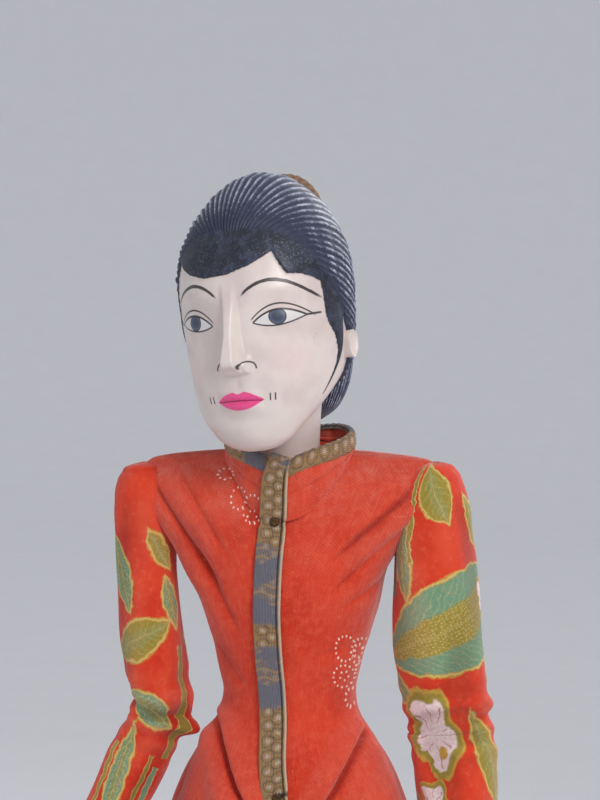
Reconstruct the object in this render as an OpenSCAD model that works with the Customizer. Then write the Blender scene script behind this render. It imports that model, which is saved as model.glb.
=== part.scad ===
// Rod puppet: a carved head on a central rod that turns inside a clothed torso, with two strung
// arms that are worked by hand rods. Millimetres, +Z up, the figure faces -Y.
// The origin is on the central rod's axis, at the lower end of its cylindrical foot.

/* [Central rod] */
// Radius of the foot that fits a stand
foot_r = 6; // [4:0.5:6.5]
// Length of the foot
foot_len = 60; // [40:1:65]
// Radius of the handle above the foot
handle_r = 7; // [6.6:0.1:8]
// Radius of the thin part that passes through the torso
spindle_r = 4.2; // [3.5:0.1:4.2]

/* [Head] */
// Turn of the face towards the figure's right, in degrees
head_turn = 14; // [0:1:40]
// Lean of the head towards the figure's right, in degrees
head_lean = 5; // [0:1:5]

/* [Arms] */
// Distance of each shoulder pivot from the rod's axis
shoulder_x = 60; // [59.5:0.1:62]
// Shoulder pivot to the upper elbow pivot
upper_len = 88; // [84:1:96]
// Lower elbow pivot to the thread hole in the hand
hand_drop = 85; // [82:1:92]
// Length of each hand rod
rod_len = 236; // [200:1:240]
// Outward lean of the left arm as it hangs, in degrees
left_lean = 4; // [3:0.5:8]
// Outward lean of the right arm as it hangs, in degrees
right_lean = -4; // [-4:0.5:4]
// Sideways bend of the right elbow, in degrees
right_elbow_out = 26; // [10:1:30]

/* [Clothes] */
// Thickness of the jacket's cloth and lining
jacket_wall = 1.6; // [1:0.1:1.6]
// Thickness of the skirt's cloth
skirt_wall = 1.4; // [1:0.1:1.4]
// Width of the patterned front strip
placket_w = 11; // [8:0.5:14]

/* [Hidden] */
SIDES = ["left", "right"];
$fn = 48;
sides = 28;             // corners round each lofted section
eps = 0.05;

// central rod
tip_len = 35;           // pointed end below the foot
tip_r = 2;
handle_top = 272;
spindle_z = 279;        // where the thin part begins
spindle_top = 480;
stop_z = 297;           // underside of the stop that carries the torso
stop_h = 8;
stop_r = 11;

// head: [height, half width, half depth, centre forward (-) or back (+) of the rod]
skull = [
    [448, 9, 5, -33.5], [451, 13.5, 6.8, -34.2], [456, 18.5, 11.5, -32.5], [462, 23.5, 17.8, -28.8],
    [470, 27.5, 24.5, -24.5], [480, 30.5, 32, -18], [500, 32.8, 35.5, -16.5],
    [520, 32.6, 35.8, -15.5], [532, 29.2, 32.2, -14.5], [542, 23, 25, -13.5],
    [550, 14.5, 15.5, -13], [555, 5.5, 6, -13]
];
bun = [
    [459, 6, 5, 26], [463, 11, 10, 26], [472, 15.5, 14, 26.5], [488, 17.5, 16, 27],
    [504, 17.5, 16, 26.5], [516, 15.5, 14, 25], [526, 10.5, 10, 22.5], [531, 5, 5, 21]
];
neck_z = 424;
neck_top = 470;
neck_base_r = 11.5;
neck_top_r = 13;
neck_play = 0.8;        // gap round the neck in the torso's recess
socket_play = 0.03;     // gap round the rod in the head's socket
skull_gap = 0.3;        // gap between the skull and what is set on it
comb_r = 17.5;
comb_y = 6;
comb_w = 6;
comb_z = 538;
peg_r = 2;
peg_z = 498;
peg_from = 8;
peg_to = 27;

// torso and clothes: [height, half width, half depth]
torso_form = [
    [305, 22, 18], [328, 24, 19], [336, 20, 15], [343, 20, 15], [350, 23, 18], [366, 28, 21],
    [386, 32.5, 23.5], [402, 37, 23], [414, 42, 19.5], [424, 46.5, 16.5], [431, 47.5, 16],
    [436, 41, 16], [438.5, 26, 15.5]
];
jacket_form = [
    [286, 52, 44], [300, 48.5, 40.5], [318, 41, 34], [334, 32, 26.5], [346, 27.5, 22],
    [362, 30.5, 24], [382, 35, 26.5], [400, 40, 27], [412, 44.5, 25], [424, 50.5, 20.5],
    [432, 51.5, 19.5], [438, 47, 20], [441.5, 36, 20.5], [443.5, 25, 20]
];
skirt_form = [
    [75, 58, 50], [150, 52, 45], [230, 46, 39], [286, 42, 35], [310, 36, 29.5],
    [328, 26.5, 21.5], [336, 22.2, 17.2], [343, 21.8, 16.8]
];
bore_play = 0.08;       // gap round the rod in the torso's bore
armhole_r = 8;
collar_z = 444;
collar_rim = 449.5;     // mean height of the collar's slanting rim
collar_slant = 3.5;
collar_wall = 1.8;
collar_half_w = 25;
collar_half_d = 20;
collar_flare = 0.4;     // how much wider the rim is than the base
trim_h = 5;
trim_wall = 1;
trim_rise = 0.6;        // above the collar's rim
trim_slant = 0.2;       // slant of the trim's lower edge
cloth_gap = 0.25;
placket_x = -1.5;
placket_wall = 1.2;
stud_r = 1.8;
stud_h = 1;
stud_gap = 0.8;         // stands clear of the strip where it slopes
stud_heights = [420, 314];
tie_z = 337;
tie_h = 4;
tie_half_w = 24.2;
tie_half_d = 19.2;
tie_wall = 1.5;

// arms
shoulder_z = 430;
elbow_gap = 14;         // between the two elbow pivots
left_bend = 8;          // forward bend of each elbow at rest
right_bend = 12;
cord_r = 1.1;
cord_hole_r = 1.6;
cord_reach = 6.2;       // half width of a cord loop
cord_leg = 5;
bend_full = 1.3;        // how much fuller a cord is at its bends
shank_x = 53.2;         // where the shoulder loop closes
shank_r = 0.9;          // the cord's single run into the torso
shank_knot_r = 1.65;    // where the loop joins that run
knot_x = 40;
knot_r = 2.6;
pocket_r = 3.4;
tang_r = 4.7;
tang_half = 4.2;
arm_r = 7;
thread_r = 0.6;
thread_hole_r = 0.95;
thread_reach = 4.6;
thread_leg = 4.2;
eye_reach = 2.8;        // half width of the thread loop at the rod
eye_leg = 2.6;
thread_gap = 9.6;
hand_end_r = 3.4;
wrist_at = 62;          // below the lower elbow pivot
wrist_r = 4.9;
forearm_r = 6.4;
// height above the thread hole, half width, half depth
hand_form = [[0, 2.6, 2.8], [7, 4, 6.2], [15, 4.5, 8], [21, 4.7, 6.5], [25, 4.8, 4.8]];
sleeve_from = 16.5;     // below the shoulder pivot
sleeve_r = 11.5;
sleeve_bore = 8.3;
left_sleeve_full = 3;
elbow_from = 12;        // below the lower elbow pivot
cuff_at = 60;
lower_sleeve_r = 11.3;
cuff_r = 9.5;
lower_sleeve_bore = 7.6;
rod_top_r = 1.8;
rod_grip_r = 2.8;
rod_grip_len = 70;

function sgn(side) = side == "left" ? 1 : -1;
function lean(side) = side == "left" ? left_lean : right_lean;
function elbow_out(side) = side == "left" ? 0 : right_elbow_out;
function bend(side) = side == "left" ? left_bend : right_bend;

// Places of the pivots, from the shoulder down
function elbow_top(side) =
    [sgn(side) * (shoulder_x + upper_len * sin(lean(side))), 0, shoulder_z - upper_len * cos(lean(side))];
function fore_lean(side) = lean(side) + elbow_out(side);
function elbow_low(side) = elbow_top(side)
    + elbow_gap * [sgn(side) * sin(fore_lean(side)), 0, -cos(fore_lean(side))];
function hand_hole(side) = elbow_low(side) + hand_drop * [
    sgn(side) * sin(fore_lean(side)) * cos(bend(side)),
    -sin(bend(side)),
    -cos(fore_lean(side)) * cos(bend(side))
];

// One elliptical ring of a loft, anticlockwise from above
function ring(z, half_w, half_d, back = 0) =
    [for (i = [0:sides - 1]) [half_w * cos(360 * i / sides), back + half_d * sin(360 * i / sides), z]];
// The rings of a form table, each grown by a margin
function rings(form, grow = 0) =
    [for (f = form) ring(f[0], f[1] + grow, f[2] + grow, len(f) > 3 ? f[3] : 0)];
// Half depth of a form at a height, between its rows
function depth_at(form, z) = lookup(z, [for (f = form) [f[0], f[2]]]);
function reversed(list) = [for (i = [len(list) - 1:-1:0]) list[i]];
function flat(lists) = [for (list = lists) each list];

// The side faces between ring k and the next one, split into triangles
function band(k, next, n) = flat([for (i = [0:n - 1]) let(j = (i + 1) % n)
    [[next * n + i, next * n + j, k * n + j], [next * n + i, k * n + j, k * n + i]]]);

// A solid through stacked rings, closed at both ends
module loft(list) {
    n = len(list[0]);
    m = len(list);
    polyhedron(
        points = flat(list),
        faces = concat(
            [[for (i = [0:n - 1]) i]],
            flat([for (k = [0:m - 2]) band(k, k + 1, n)]),
            [[for (i = [n - 1:-1:0]) (m - 1) * n + i]]));
}

// A tube through rings that come back to the first one
module looped_loft(list) {
    n = len(list[0]);
    m = len(list);
    polyhedron(points = flat(list), faces = flat([for (k = [0:m - 1]) band(k, (k + 1) % m, n)]));
}

// Cloth of one thickness that follows a form
module shell(form, wall) {
    looped_loft(concat(rings(form), reversed(rings(form, -wall))));
}

// A straight length of cord
module cord_piece(a, b, r) {
    d = b - a;
    h = norm(d);
    translate(a)
        rotate([0, acos(d[2] / h), atan2(d[1], d[0])])
            cylinder(r = r, h = h, $fn = 24);
}

// A sphere at a point, with its seam turned to a side where nothing else meets it
module bead(at, r, seam) {
    translate(at) rotate([0, 0, seam]) sphere(r = r, $fn = 24);
}

// A cord laid round a closed run of points, with a slightly fuller bend at each
module cord_ring(points, r) {
    n = len(points);
    for (i = [0:n - 1]) {
        out = 2 * points[i] - points[(i + 1) % n] - points[(i + n - 1) % n];
        cord_piece(points[i], points[(i + 1) % n], r);
        bead(points[i], r * bend_full, atan2(out[1], out[0]));
    }
}

// A loop that crosses an upper hole along Y and a lower hole along X, drop below it
module link_loop(upper, upper_leg, lower, lower_leg, drop, r) {
    cord_ring([
        [0, -upper, 0], [0, upper, 0], [0, upper, -upper_leg],
        [lower, 0, lower_leg - drop], [lower, 0, -drop], [-lower, 0, -drop],
        [-lower, 0, lower_leg - drop], [0, -upper, -upper_leg]
    ], r);
}

// Frames of the moving parts
module at_head() {
    translate([0, 0, neck_top])
        rotate([0, 0, -head_turn])
            rotate([0, -head_lean, 0])
                translate([0, 0, -neck_top]) children();
}
module at_shoulder(side) {
    translate([sgn(side) * shoulder_x, 0, shoulder_z])
        rotate([0, -sgn(side) * lean(side), 0]) children();
}
module at_elbow(side) {
    translate(elbow_top(side)) rotate([0, -sgn(side) * fore_lean(side), 0]) children();
}
module at_forearm(side) {
    at_elbow(side) translate([0, 0, -elbow_gap]) rotate([-bend(side), 0, 0]) children();
}

// Bars along X and Y through the origin, both ways
module bar_x(r, half) { rotate([0, 90, 0]) cylinder(r = r, h = 2 * half, center = true); }
module bar_y(r, half) { rotate([90, 0, 0]) cylinder(r = r, h = 2 * half, center = true); }

module central_rod() {
    color("burlywood")
        rotate_extrude()
            polygon([
                [0, -tip_len], [tip_r, -tip_len], [foot_r, 0], [foot_r, foot_len], [handle_r, foot_len],
                [handle_r, handle_top], [spindle_r, spindle_z], [spindle_r, spindle_top - 1],
                [spindle_r - 1, spindle_top], [0, spindle_top]
            ]);
}

module rod_stop() {
    color("peru")
        translate([0, 0, stop_z])
            rotate_extrude()
                polygon([
                    [spindle_r + eps, 0], [stop_r - 1, 0], [stop_r, 1], [stop_r, stop_h - 1],
                    [stop_r - 1, stop_h], [spindle_r + eps, stop_h]
                ]);
}

module head() {
    color("linen")
        difference() {
            union() {
                translate([0, 0, neck_z])
                    cylinder(r1 = neck_base_r, r2 = neck_top_r, h = neck_top - neck_z);
                at_head() loft(rings(skull));
            }
            translate([0, 0, neck_z - 1])
                cylinder(r = spindle_r + socket_play, h = spindle_top - neck_z + 2);
            at_head() bun_peg_bar(eps);
        }
}

module bun_peg_bar(play) {
    translate([0, peg_from - play, peg_z])
        rotate([-90, 0, 0]) cylinder(r = peg_r + play, h = peg_to - peg_from + 2 * play);
}

module hair_bun() {
    color("darkslategray")
        at_head() difference() {
            loft(rings(bun));
            loft(rings(skull, skull_gap));
            bun_peg_bar(eps);
        }
}

module bun_peg() {
    color("tan") at_head() bun_peg_bar(0);
}

module hair_comb() {
    color("sienna")
        at_head() difference() {
            translate([0, comb_y, comb_z])
                rotate([-90, 0, 0]) cylinder(r = comb_r, h = comb_w);
            loft(rings(skull, skull_gap));
            translate([0, comb_y + comb_w / 2, comb_z - comb_r / 2])
                cube([2 * comb_r + 2, comb_w + 2, comb_r], center = true);
        }
}

module torso() {
    color("tan")
        difference() {
            loft(rings(torso_form));
            translate([0, 0, stop_z])
                cylinder(r = spindle_r + bore_play, h = shoulder_z + 20 - stop_z);
            translate([0, 0, neck_z - 2])
                cylinder(r = neck_base_r + neck_play, h = 30);
            for (side = SIDES) translate([sgn(side) * knot_x, 0, shoulder_z]) {
                translate([sgn(side) * 6, 0, 0]) bar_x(cord_hole_r, 8);
                translate([0, 10 - pocket_r, 0]) bar_y(pocket_r, 10);
            }
        }
}

module jacket() {
    color("tomato")
        difference() {
            shell(jacket_form, jacket_wall);
            for (side = SIDES)
                translate([sgn(side) * 55, 0, shoulder_z]) bar_x(armhole_r, 7);
        }
}

// A ring of the collar: its height follows the slant, lowest at the front
function collar_ring(grow, z, slant) = [for (i = [0:sides - 1]) let(a = 360 * i / sides)
    [(collar_half_w + grow) * cos(a), (collar_half_d + grow) * sin(a), z + slant * sin(a)]];

module collar() {
    color("tomato")
        looped_loft([
            collar_ring(0, collar_z, 0), collar_ring(collar_flare, collar_rim, collar_slant),
            collar_ring(collar_flare - collar_wall, collar_rim, collar_slant),
            collar_ring(-collar_wall, collar_z, 0)
        ]);
}

module collar_trim() {
    out = collar_flare + cloth_gap;
    top = collar_rim + trim_rise;
    color("goldenrod")
        looped_loft([
            collar_ring(out + trim_wall, top - trim_h, trim_slant),
            collar_ring(out + trim_wall, top, collar_slant),
            collar_ring(out, top, collar_slant),
            collar_ring(out, top - trim_h, trim_slant)
        ]);
}

// The front strip runs down the jacket's front, from the collar to the hem
module placket() {
    function row(z) = let(y = -depth_at(jacket_form, z) - cloth_gap)
        [[placket_x - placket_w / 2, y - placket_wall, z], [placket_x + placket_w / 2, y - placket_wall, z],
         [placket_x + placket_w / 2, y, z], [placket_x - placket_w / 2, y, z]];
    color("slategray") loft([for (f = jacket_form) row(f[0])]);
}

module placket_studs() {
    color("saddlebrown")
        for (z = stud_heights)
            translate([placket_x, -depth_at(jacket_form, z) - cloth_gap - placket_wall - stud_gap, z])
                rotate([90, 0, 0]) cylinder(r1 = stud_r, r2 = stud_r * 0.6, h = stud_h);
}

module skirt() {
    color("saddlebrown") shell(skirt_form, skirt_wall);
}

module waist_tie() {
    color("beige")
        looped_loft([
            ring(tie_z, tie_half_w, tie_half_d), ring(tie_z + tie_h, tie_half_w, tie_half_d),
            ring(tie_z + tie_h, tie_half_w - tie_wall, tie_half_d - tie_wall),
            ring(tie_z, tie_half_w - tie_wall, tie_half_d - tie_wall)
        ]);
}

module shoulder_cord(side) {
    s = sgn(side);
    color("ivory")
        translate([0, 0, shoulder_z]) {
            cord_ring([
                [s * shank_x, -cord_reach, 0], [s * shoulder_x, -cord_reach, 0],
                [s * shoulder_x, cord_reach, 0], [s * shank_x, cord_reach, 0]
            ], cord_r);
            cord_piece([s * shank_x, 0, 0], [s * knot_x, 0, 0], shank_r);
            bead([s * shank_x, 0, 0], shank_knot_r, 90 - s * 90);
            bead([s * knot_x, 0, 0], knot_r, 90 + s * 90);
        }
}

// The flat end of an arm piece, round about the pivot, with its cord hole; turn 90 puts it along X
module tang(reach, turn) {
    rotate([0, 0, turn]) {
        bar_y(tang_r, tang_half);
        translate([0, 0, reach / 2]) cube([2 * tang_r - 1, 2 * tang_half, abs(reach)], center = true);
    }
}

module upper_arm(side) {
    taper = 0.85;
    color("wheat")
        at_shoulder(side) difference() {
            union() {
                tang(-12, 0);
                translate([0, 0, -upper_len + 9]) cylinder(r1 = arm_r * taper, r2 = arm_r, h = upper_len - 18);
                translate([0, 0, -upper_len]) tang(12, 0);
            }
            bar_y(cord_hole_r, 10);
            translate([0, 0, -upper_len]) bar_y(cord_hole_r, 10);
        }
}

// A sleeve along its arm piece: from and to are distances below the pivot
module sleeve_tube(from, to, r_from, r_to, bore) {
    translate([0, 0, -to])
        difference() {
            cylinder(r1 = r_to, r2 = r_from, h = to - from);
            translate([0, 0, -1]) cylinder(r = bore, h = to - from + 2);
        }
}

module upper_sleeve(side) {
    full = side == "left" ? left_sleeve_full : 0;
    color("orangered") at_shoulder(side)
        sleeve_tube(sleeve_from, upper_len - 10, sleeve_r + full, sleeve_r + 1 + full, sleeve_bore);
}

module elbow_cord(side) {
    color("ivory")
        at_elbow(side) link_loop(cord_reach, cord_leg, cord_reach, cord_leg, elbow_gap, cord_r);
}

module forearm(side) {
    color("linen")
        difference() {
            at_forearm(side) union() {
                tang(-13, 90);
                translate([0, 0, -wrist_at]) cylinder(r1 = wrist_r, r2 = forearm_r, h = wrist_at - elbow_from);
                translate([0, 0, -hand_drop]) loft(rings(hand_form));
                translate([0, 0, -hand_drop]) sphere(r = hand_end_r);
            }
            at_forearm(side) bar_x(cord_hole_r, 10);
            translate(hand_hole(side)) bar_y(thread_hole_r, 6);
        }
}

module lower_sleeve(side) {
    color("orangered") at_forearm(side)
        sleeve_tube(elbow_from, cuff_at, lower_sleeve_r, cuff_r, lower_sleeve_bore);
}

module rod_thread(side) {
    color("ivory")
        translate(hand_hole(side))
            link_loop(thread_reach, thread_leg, eye_reach, eye_leg, thread_gap, thread_r);
}

module hand_rod(side) {
    color("burlywood")
        translate(hand_hole(side) - [0, 0, thread_gap])
            difference() {
                rotate_extrude()
                    polygon([
                        [0, 2.2], [rod_top_r - 0.6, 2.2], [rod_top_r, 1.4], [rod_top_r, -3],
                        [rod_grip_r, rod_grip_len - rod_len], [rod_grip_r, -rod_len], [0, -rod_len]
                    ]);
                bar_x(thread_hole_r, 4);
            }
}

central_rod();
rod_stop();
head();
hair_bun();
bun_peg();
hair_comb();
torso();
jacket();
collar();
collar_trim();
placket();
placket_studs();
skirt();
waist_tie();
for (side = SIDES) {
    shoulder_cord(side);
    upper_arm(side);
    upper_sleeve(side);
    elbow_cord(side);
    forearm(side);
    lower_sleeve(side);
    rod_thread(side);
    hand_rod(side);
}
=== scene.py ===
import math

import bpy
import numpy as np
from mathutils import Matrix, Vector


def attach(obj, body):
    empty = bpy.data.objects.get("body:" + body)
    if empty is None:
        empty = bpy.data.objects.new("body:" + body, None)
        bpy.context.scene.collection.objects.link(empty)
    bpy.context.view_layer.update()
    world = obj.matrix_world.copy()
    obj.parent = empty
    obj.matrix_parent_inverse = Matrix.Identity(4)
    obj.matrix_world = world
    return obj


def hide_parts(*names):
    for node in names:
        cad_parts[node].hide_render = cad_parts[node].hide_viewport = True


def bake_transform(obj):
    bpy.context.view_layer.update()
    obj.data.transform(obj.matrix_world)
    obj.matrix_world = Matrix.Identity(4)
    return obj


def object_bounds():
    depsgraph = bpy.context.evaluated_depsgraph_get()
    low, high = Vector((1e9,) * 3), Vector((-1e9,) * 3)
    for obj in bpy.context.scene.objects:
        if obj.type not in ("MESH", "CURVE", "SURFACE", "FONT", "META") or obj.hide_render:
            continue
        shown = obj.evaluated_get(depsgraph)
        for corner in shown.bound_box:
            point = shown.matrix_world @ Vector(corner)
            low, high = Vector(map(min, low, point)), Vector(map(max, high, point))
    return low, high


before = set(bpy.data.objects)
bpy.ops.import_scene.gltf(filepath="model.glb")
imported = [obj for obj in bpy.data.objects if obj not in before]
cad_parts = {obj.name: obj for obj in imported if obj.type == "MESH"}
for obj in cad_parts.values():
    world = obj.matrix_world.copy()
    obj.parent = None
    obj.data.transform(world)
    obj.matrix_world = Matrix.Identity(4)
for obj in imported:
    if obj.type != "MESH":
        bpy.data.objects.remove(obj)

CAD_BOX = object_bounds()
MM = 0.001
SIDES = (("left", 1), ("right", -1))


# ---------------------------------------------------------------- materials
def put(tree, slot, value):
    """Link a node's output to a slot, or set the slot's plain value."""
    if isinstance(value, E):
        tree.links.new(value.socket, slot)
    else:
        slot.default_value = value


def new_node(tree, kind, inputs=(), **settings):
    """A node with its settings; inputs are in order, or a dictionary by number or name."""
    node = tree.nodes.new("ShaderNode" + kind)
    for key, value in settings.items():
        setattr(node, key, value)
    for slot, value in inputs.items() if isinstance(inputs, dict) else enumerate(inputs):
        put(tree, node.inputs[slot], value)
    return node


def calculate(tree, operation, *values, clamp=False):
    return E(tree, new_node(tree, "Math", values, operation=operation, use_clamp=clamp).outputs[0])


def arithmetic(operation):
    return lambda self, *others: calculate(self.tree, operation, self, *others)


class E:
    """A number or vector in a material's node tree, with ordinary arithmetic on it."""

    def __init__(self, tree, socket):
        self.tree, self.socket = tree, socket

    __add__ = __radd__ = arithmetic("ADD")
    __mul__ = __rmul__ = arithmetic("MULTIPLY")
    __sub__ = arithmetic("SUBTRACT")
    __truediv__ = arithmetic("DIVIDE")
    abs = arithmetic("ABSOLUTE")
    sin = arithmetic("SINE")
    fract = arithmetic("FRACT")
    max = arithmetic("MAXIMUM")
    turn_from = arithmetic("ARCTAN2")
    above = arithmetic("GREATER_THAN")

    def __rsub__(self, o):
        return calculate(self.tree, "SUBTRACT", o, self)

    def __neg__(self):
        return self * -1.0

    def clip(self):
        return calculate(self.tree, "ADD", self, 0.0, clamp=True)

    def hypot(self, o):
        pair = E(self.tree, new_node(self.tree, "CombineXYZ", (self, o)).outputs[0])
        node = new_node(self.tree, "VectorMath", (pair,), operation="LENGTH")
        return E(self.tree, node.outputs["Value"])

    def step(self, low, high):
        """0 below low and 1 above high, smooth between."""
        values = (self, low, high, 0.0, 1.0)
        node = new_node(self.tree, "MapRange", values, interpolation_type="SMOOTHSTEP")
        return E(self.tree, node.outputs[0])

    def line(self, half, soft=0.15):
        """1 within half of zero, with a soft edge."""
        return 1 - self.abs().step(half - soft, half + soft)


def rgb(r, g, b):
    """A colour given in display numbers from 0 to 255, as the linear one that nodes take."""
    return tuple(((c / 255 + 0.055) / 1.055) ** 2.4 if c > 10 else c / 3294.6 for c in (r, g, b)) + (1.0,)


class Material:
    """A node material, with short calls for the patterns that the pieces share."""

    def __init__(self, name, roughness=0.6, specular=0.3, sheen=0.0, coat=0.0):
        self.material = bpy.data.materials.new(name)
        self.material.use_nodes = True
        self.tree = self.material.node_tree
        self.shader = self.tree.nodes["Principled BSDF"]
        for key, value in {"Roughness": roughness, "Specular IOR Level": specular, "Sheen Weight": sheen,
                           "Sheen Roughness": 0.5, "Coat Weight": coat, "Coat Roughness": 0.3}.items():
            self.shader.inputs[key].default_value = value

    def output_of(self, kind, inputs=(), output=0, **settings):
        return E(self.tree, new_node(self.tree, kind, inputs, **settings).outputs[output])

    def attribute(self, name):
        return self.output_of("Attribute", output="Vector", attribute_name=name)

    def number(self, name):
        return self.output_of("Attribute", output="Fac", attribute_name=name)

    def place(self):
        """The point in the row frame, in millimetres."""
        return self.scaled(self.output_of("TexCoord", output="Object"), (1000, 1000, 1000))

    def scaled(self, vector, by):
        return self.output_of("Mapping", {"Vector": vector, "Scale": by})

    def split(self, vector):
        return [E(self.tree, socket) for socket in new_node(self.tree, "SeparateXYZ", (vector,)).outputs]

    def join(self, x, y, z=0.0):
        return self.output_of("CombineXYZ", (x, y, z))

    def noise(self, vector, scale, detail=3.0, rough=0.55, distort=0.0):
        return self.output_of("TexNoise", {"Vector": vector, "Scale": scale, "Detail": detail,
                                           "Roughness": rough, "Distortion": distort})

    def mix(self, share, a, b):
        return self.output_of("Mix", {0: share, 6: a, 7: b}, 2, data_type="RGBA", clamp_factor=True)

    def colour(self, value):
        put(self.tree, self.shader.inputs["Base Color"], value)

    def rough(self, value):
        put(self.tree, self.shader.inputs["Roughness"], value)

    def bump(self, height, distance=0.0003, strength=1.0):
        """Height is 0 to 1, and distance its full size in metres."""
        values = {"Height": height, "Distance": distance, "Strength": strength}
        self.tree.links.new(new_node(self.tree, "Bump", values).outputs[0], self.shader.inputs["Normal"])


# ---------------------------------------------------------------- meshes
def mesh(name, points, faces, material, body, slot, replaces=(), smooth=True, **attributes):
    """A piece from points in millimetres in the row frame; attributes are per point."""
    data = bpy.data.meshes.new(name)
    data.from_pydata([tuple(p) for p in np.asarray(points, float) * MM], [], faces)
    for key, values in attributes.items():
        values = np.asarray(values, np.float32)
        vector = values.ndim == 2
        a = data.attributes.new(key, "FLOAT_VECTOR" if vector else "FLOAT", "POINT")
        a.data.foreach_set("vector" if vector else "value", values.ravel())
    layer = len(points) // 2 if "cloth" in attributes else 0     # a cloth's cut edge joins its two layers
    data.polygons.foreach_set("use_smooth", [smooth and not min(f) < layer <= max(f) for f in faces])
    data.materials.append(material.material)
    data.update()
    o = bpy.data.objects.new(name, data)
    bpy.context.scene.collection.objects.link(o)
    if body:
        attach(o, body)
    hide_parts(*replaces)
    return o


def grid_faces(rows, columns, round_it=False, first=0, cap_low=False, cap_high=False):
    """Faces over rows of points; round_it joins the last column to the first one."""
    faces = []
    for i in range(rows - 1):
        for j in range(columns if round_it else columns - 1):
            k = (j + 1) % columns
            a, b = first + i * columns, first + (i + 1) * columns
            faces.append((a + j, a + k, b + k, b + j))
    if cap_low:
        faces.append(tuple(first + j for j in range(columns - 1, -1, -1)))
    if cap_high:
        faces.append(tuple(first + (rows - 1) * columns + j for j in range(columns)))
    return faces


def curve_through(table, at):
    """A smooth curve through the rows of a table, by its first column."""
    t = np.asarray(table, float)
    x, y = t[:, 0], t[:, 1:]
    at = np.clip(at, x[0], x[-1])
    slope = np.gradient(y, x, axis=0)
    i = np.clip(np.searchsorted(x, at) - 1, 0, len(x) - 2)
    h = (x[i + 1] - x[i])[..., None]
    s = ((at - x[i]) / (x[i + 1] - x[i]))[..., None]
    return ((2 * s**3 - 3 * s**2 + 1) * y[i] + (s**3 - 2 * s**2 + s) * h * slope[i]
            + (3 * s**2 - 2 * s**3) * y[i + 1] + (s**3 - s**2) * h * slope[i + 1])


def turns(n):
    """n angles evenly round a circle."""
    return np.arange(n) * 2 * np.pi / n


def step(v, low, high):
    t = np.clip((v - low) / (high - low), 0, 1)
    return t * t * (3 - 2 * t)


def bell(v, width):
    return np.exp(-((v / width) ** 2))


# ---------------------------------------------------------------- head
CHIN = 448.0
HEAD_TURN, HEAD_LEAN, NECK_TOP = -14.0, -5.0, 470.0
SKULL = [  # height, half width, half depth, middle of the depth
    (448, 3.5, 2.6, -36.2), (449, 8, 4.4, -36.2), (451, 12.5, 6.2, -36), (456, 18, 9.8, -35),
    (462, 23, 15.8, -31.4), (470, 27.2, 24.4, -24.8), (480, 30.4, 31.8, -18.2),
    (500, 32.6, 35.3, -16.5), (520, 32.2, 35.5, -15.5),
    (532, 28.6, 31.6, -14.5), (542, 22.4, 24.4, -13.5), (549, 15.2, 16.4, -13), (553, 8.6, 9.2, -13),
    (554.8, 2, 2, -13),
]
CROWN = SKULL[-1][0]
to_head = (Matrix.Translation((0, 0, NECK_TOP)) @ Matrix.Rotation(math.radians(HEAD_TURN), 4, "Z")
           @ Matrix.Rotation(math.radians(HEAD_LEAN), 4, "Y") @ Matrix.Translation((0, 0, -NECK_TOP)))
HEAD_M = np.array(to_head)


def in_row(points):
    """Head-frame points, as row-frame ones."""
    return points @ HEAD_M[:3, :3].T + HEAD_M[:3, 3]


LINE_X = [-31, -28.5, -26, -22.5, -18, -10, 0, 9, 13.5, 16.2, 18.2, 21, 25, 28, 31]
LINE_Z = [64, 71, 75.5, 72, 69.5, 67.5, 68.2, 71.2, 74, 76, 72, 67, 66.6, 65, 62]
BURN_UP = [16, 24, 30, 36, 42, 47, 51, 58, 66, 80]
BURN_FORWARD = [2.6, 3.4, 4.4, 5.6, 8.0, 11.8, 13.4, 14.6, 16.5, 24]


def hair_edge(x, up, forward):
    """Signed distance in mm from the edge of the painted hair, above 0 in the hair.
    up is the height above the chin, and forward the distance before the middle of the head."""
    front = (up - np.interp(x, LINE_X, LINE_Z)) / np.hypot(1, (np.interp(x + 0.4, LINE_X, LINE_Z)
                                                            - np.interp(x - 0.4, LINE_X, LINE_Z)) / 0.8)
    front = np.where(forward > 11, front, -9)
    edge = np.interp(up, BURN_UP, BURN_FORWARD) - forward
    above = np.minimum(edge, up - 49)
    burn = np.minimum(edge, np.minimum(forward - 2.4, up - 20))
    behind = np.minimum(-9.5 - forward, up - 22)
    return np.maximum.reduce([front, above, burn, behind])


def skull_at(direction, centre):
    """How far the skull's surface is from centre along each unit direction."""
    near, far = np.zeros(len(direction)), np.full(len(direction), 90.0)
    for _ in range(32):
        t = (near + far) / 2
        p = centre + direction * t[:, None]
        w = curve_through(SKULL, p[:, 2])
        inside = (p[:, 0] / w[:, 0]) ** 2 + ((p[:, 1] - w[:, 2]) / w[:, 1]) ** 2 < 1
        inside &= (p[:, 2] > CHIN) & (p[:, 2] < CROWN)
        near, far = np.where(inside, t, near), np.where(inside, far, t)
    return near


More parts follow.
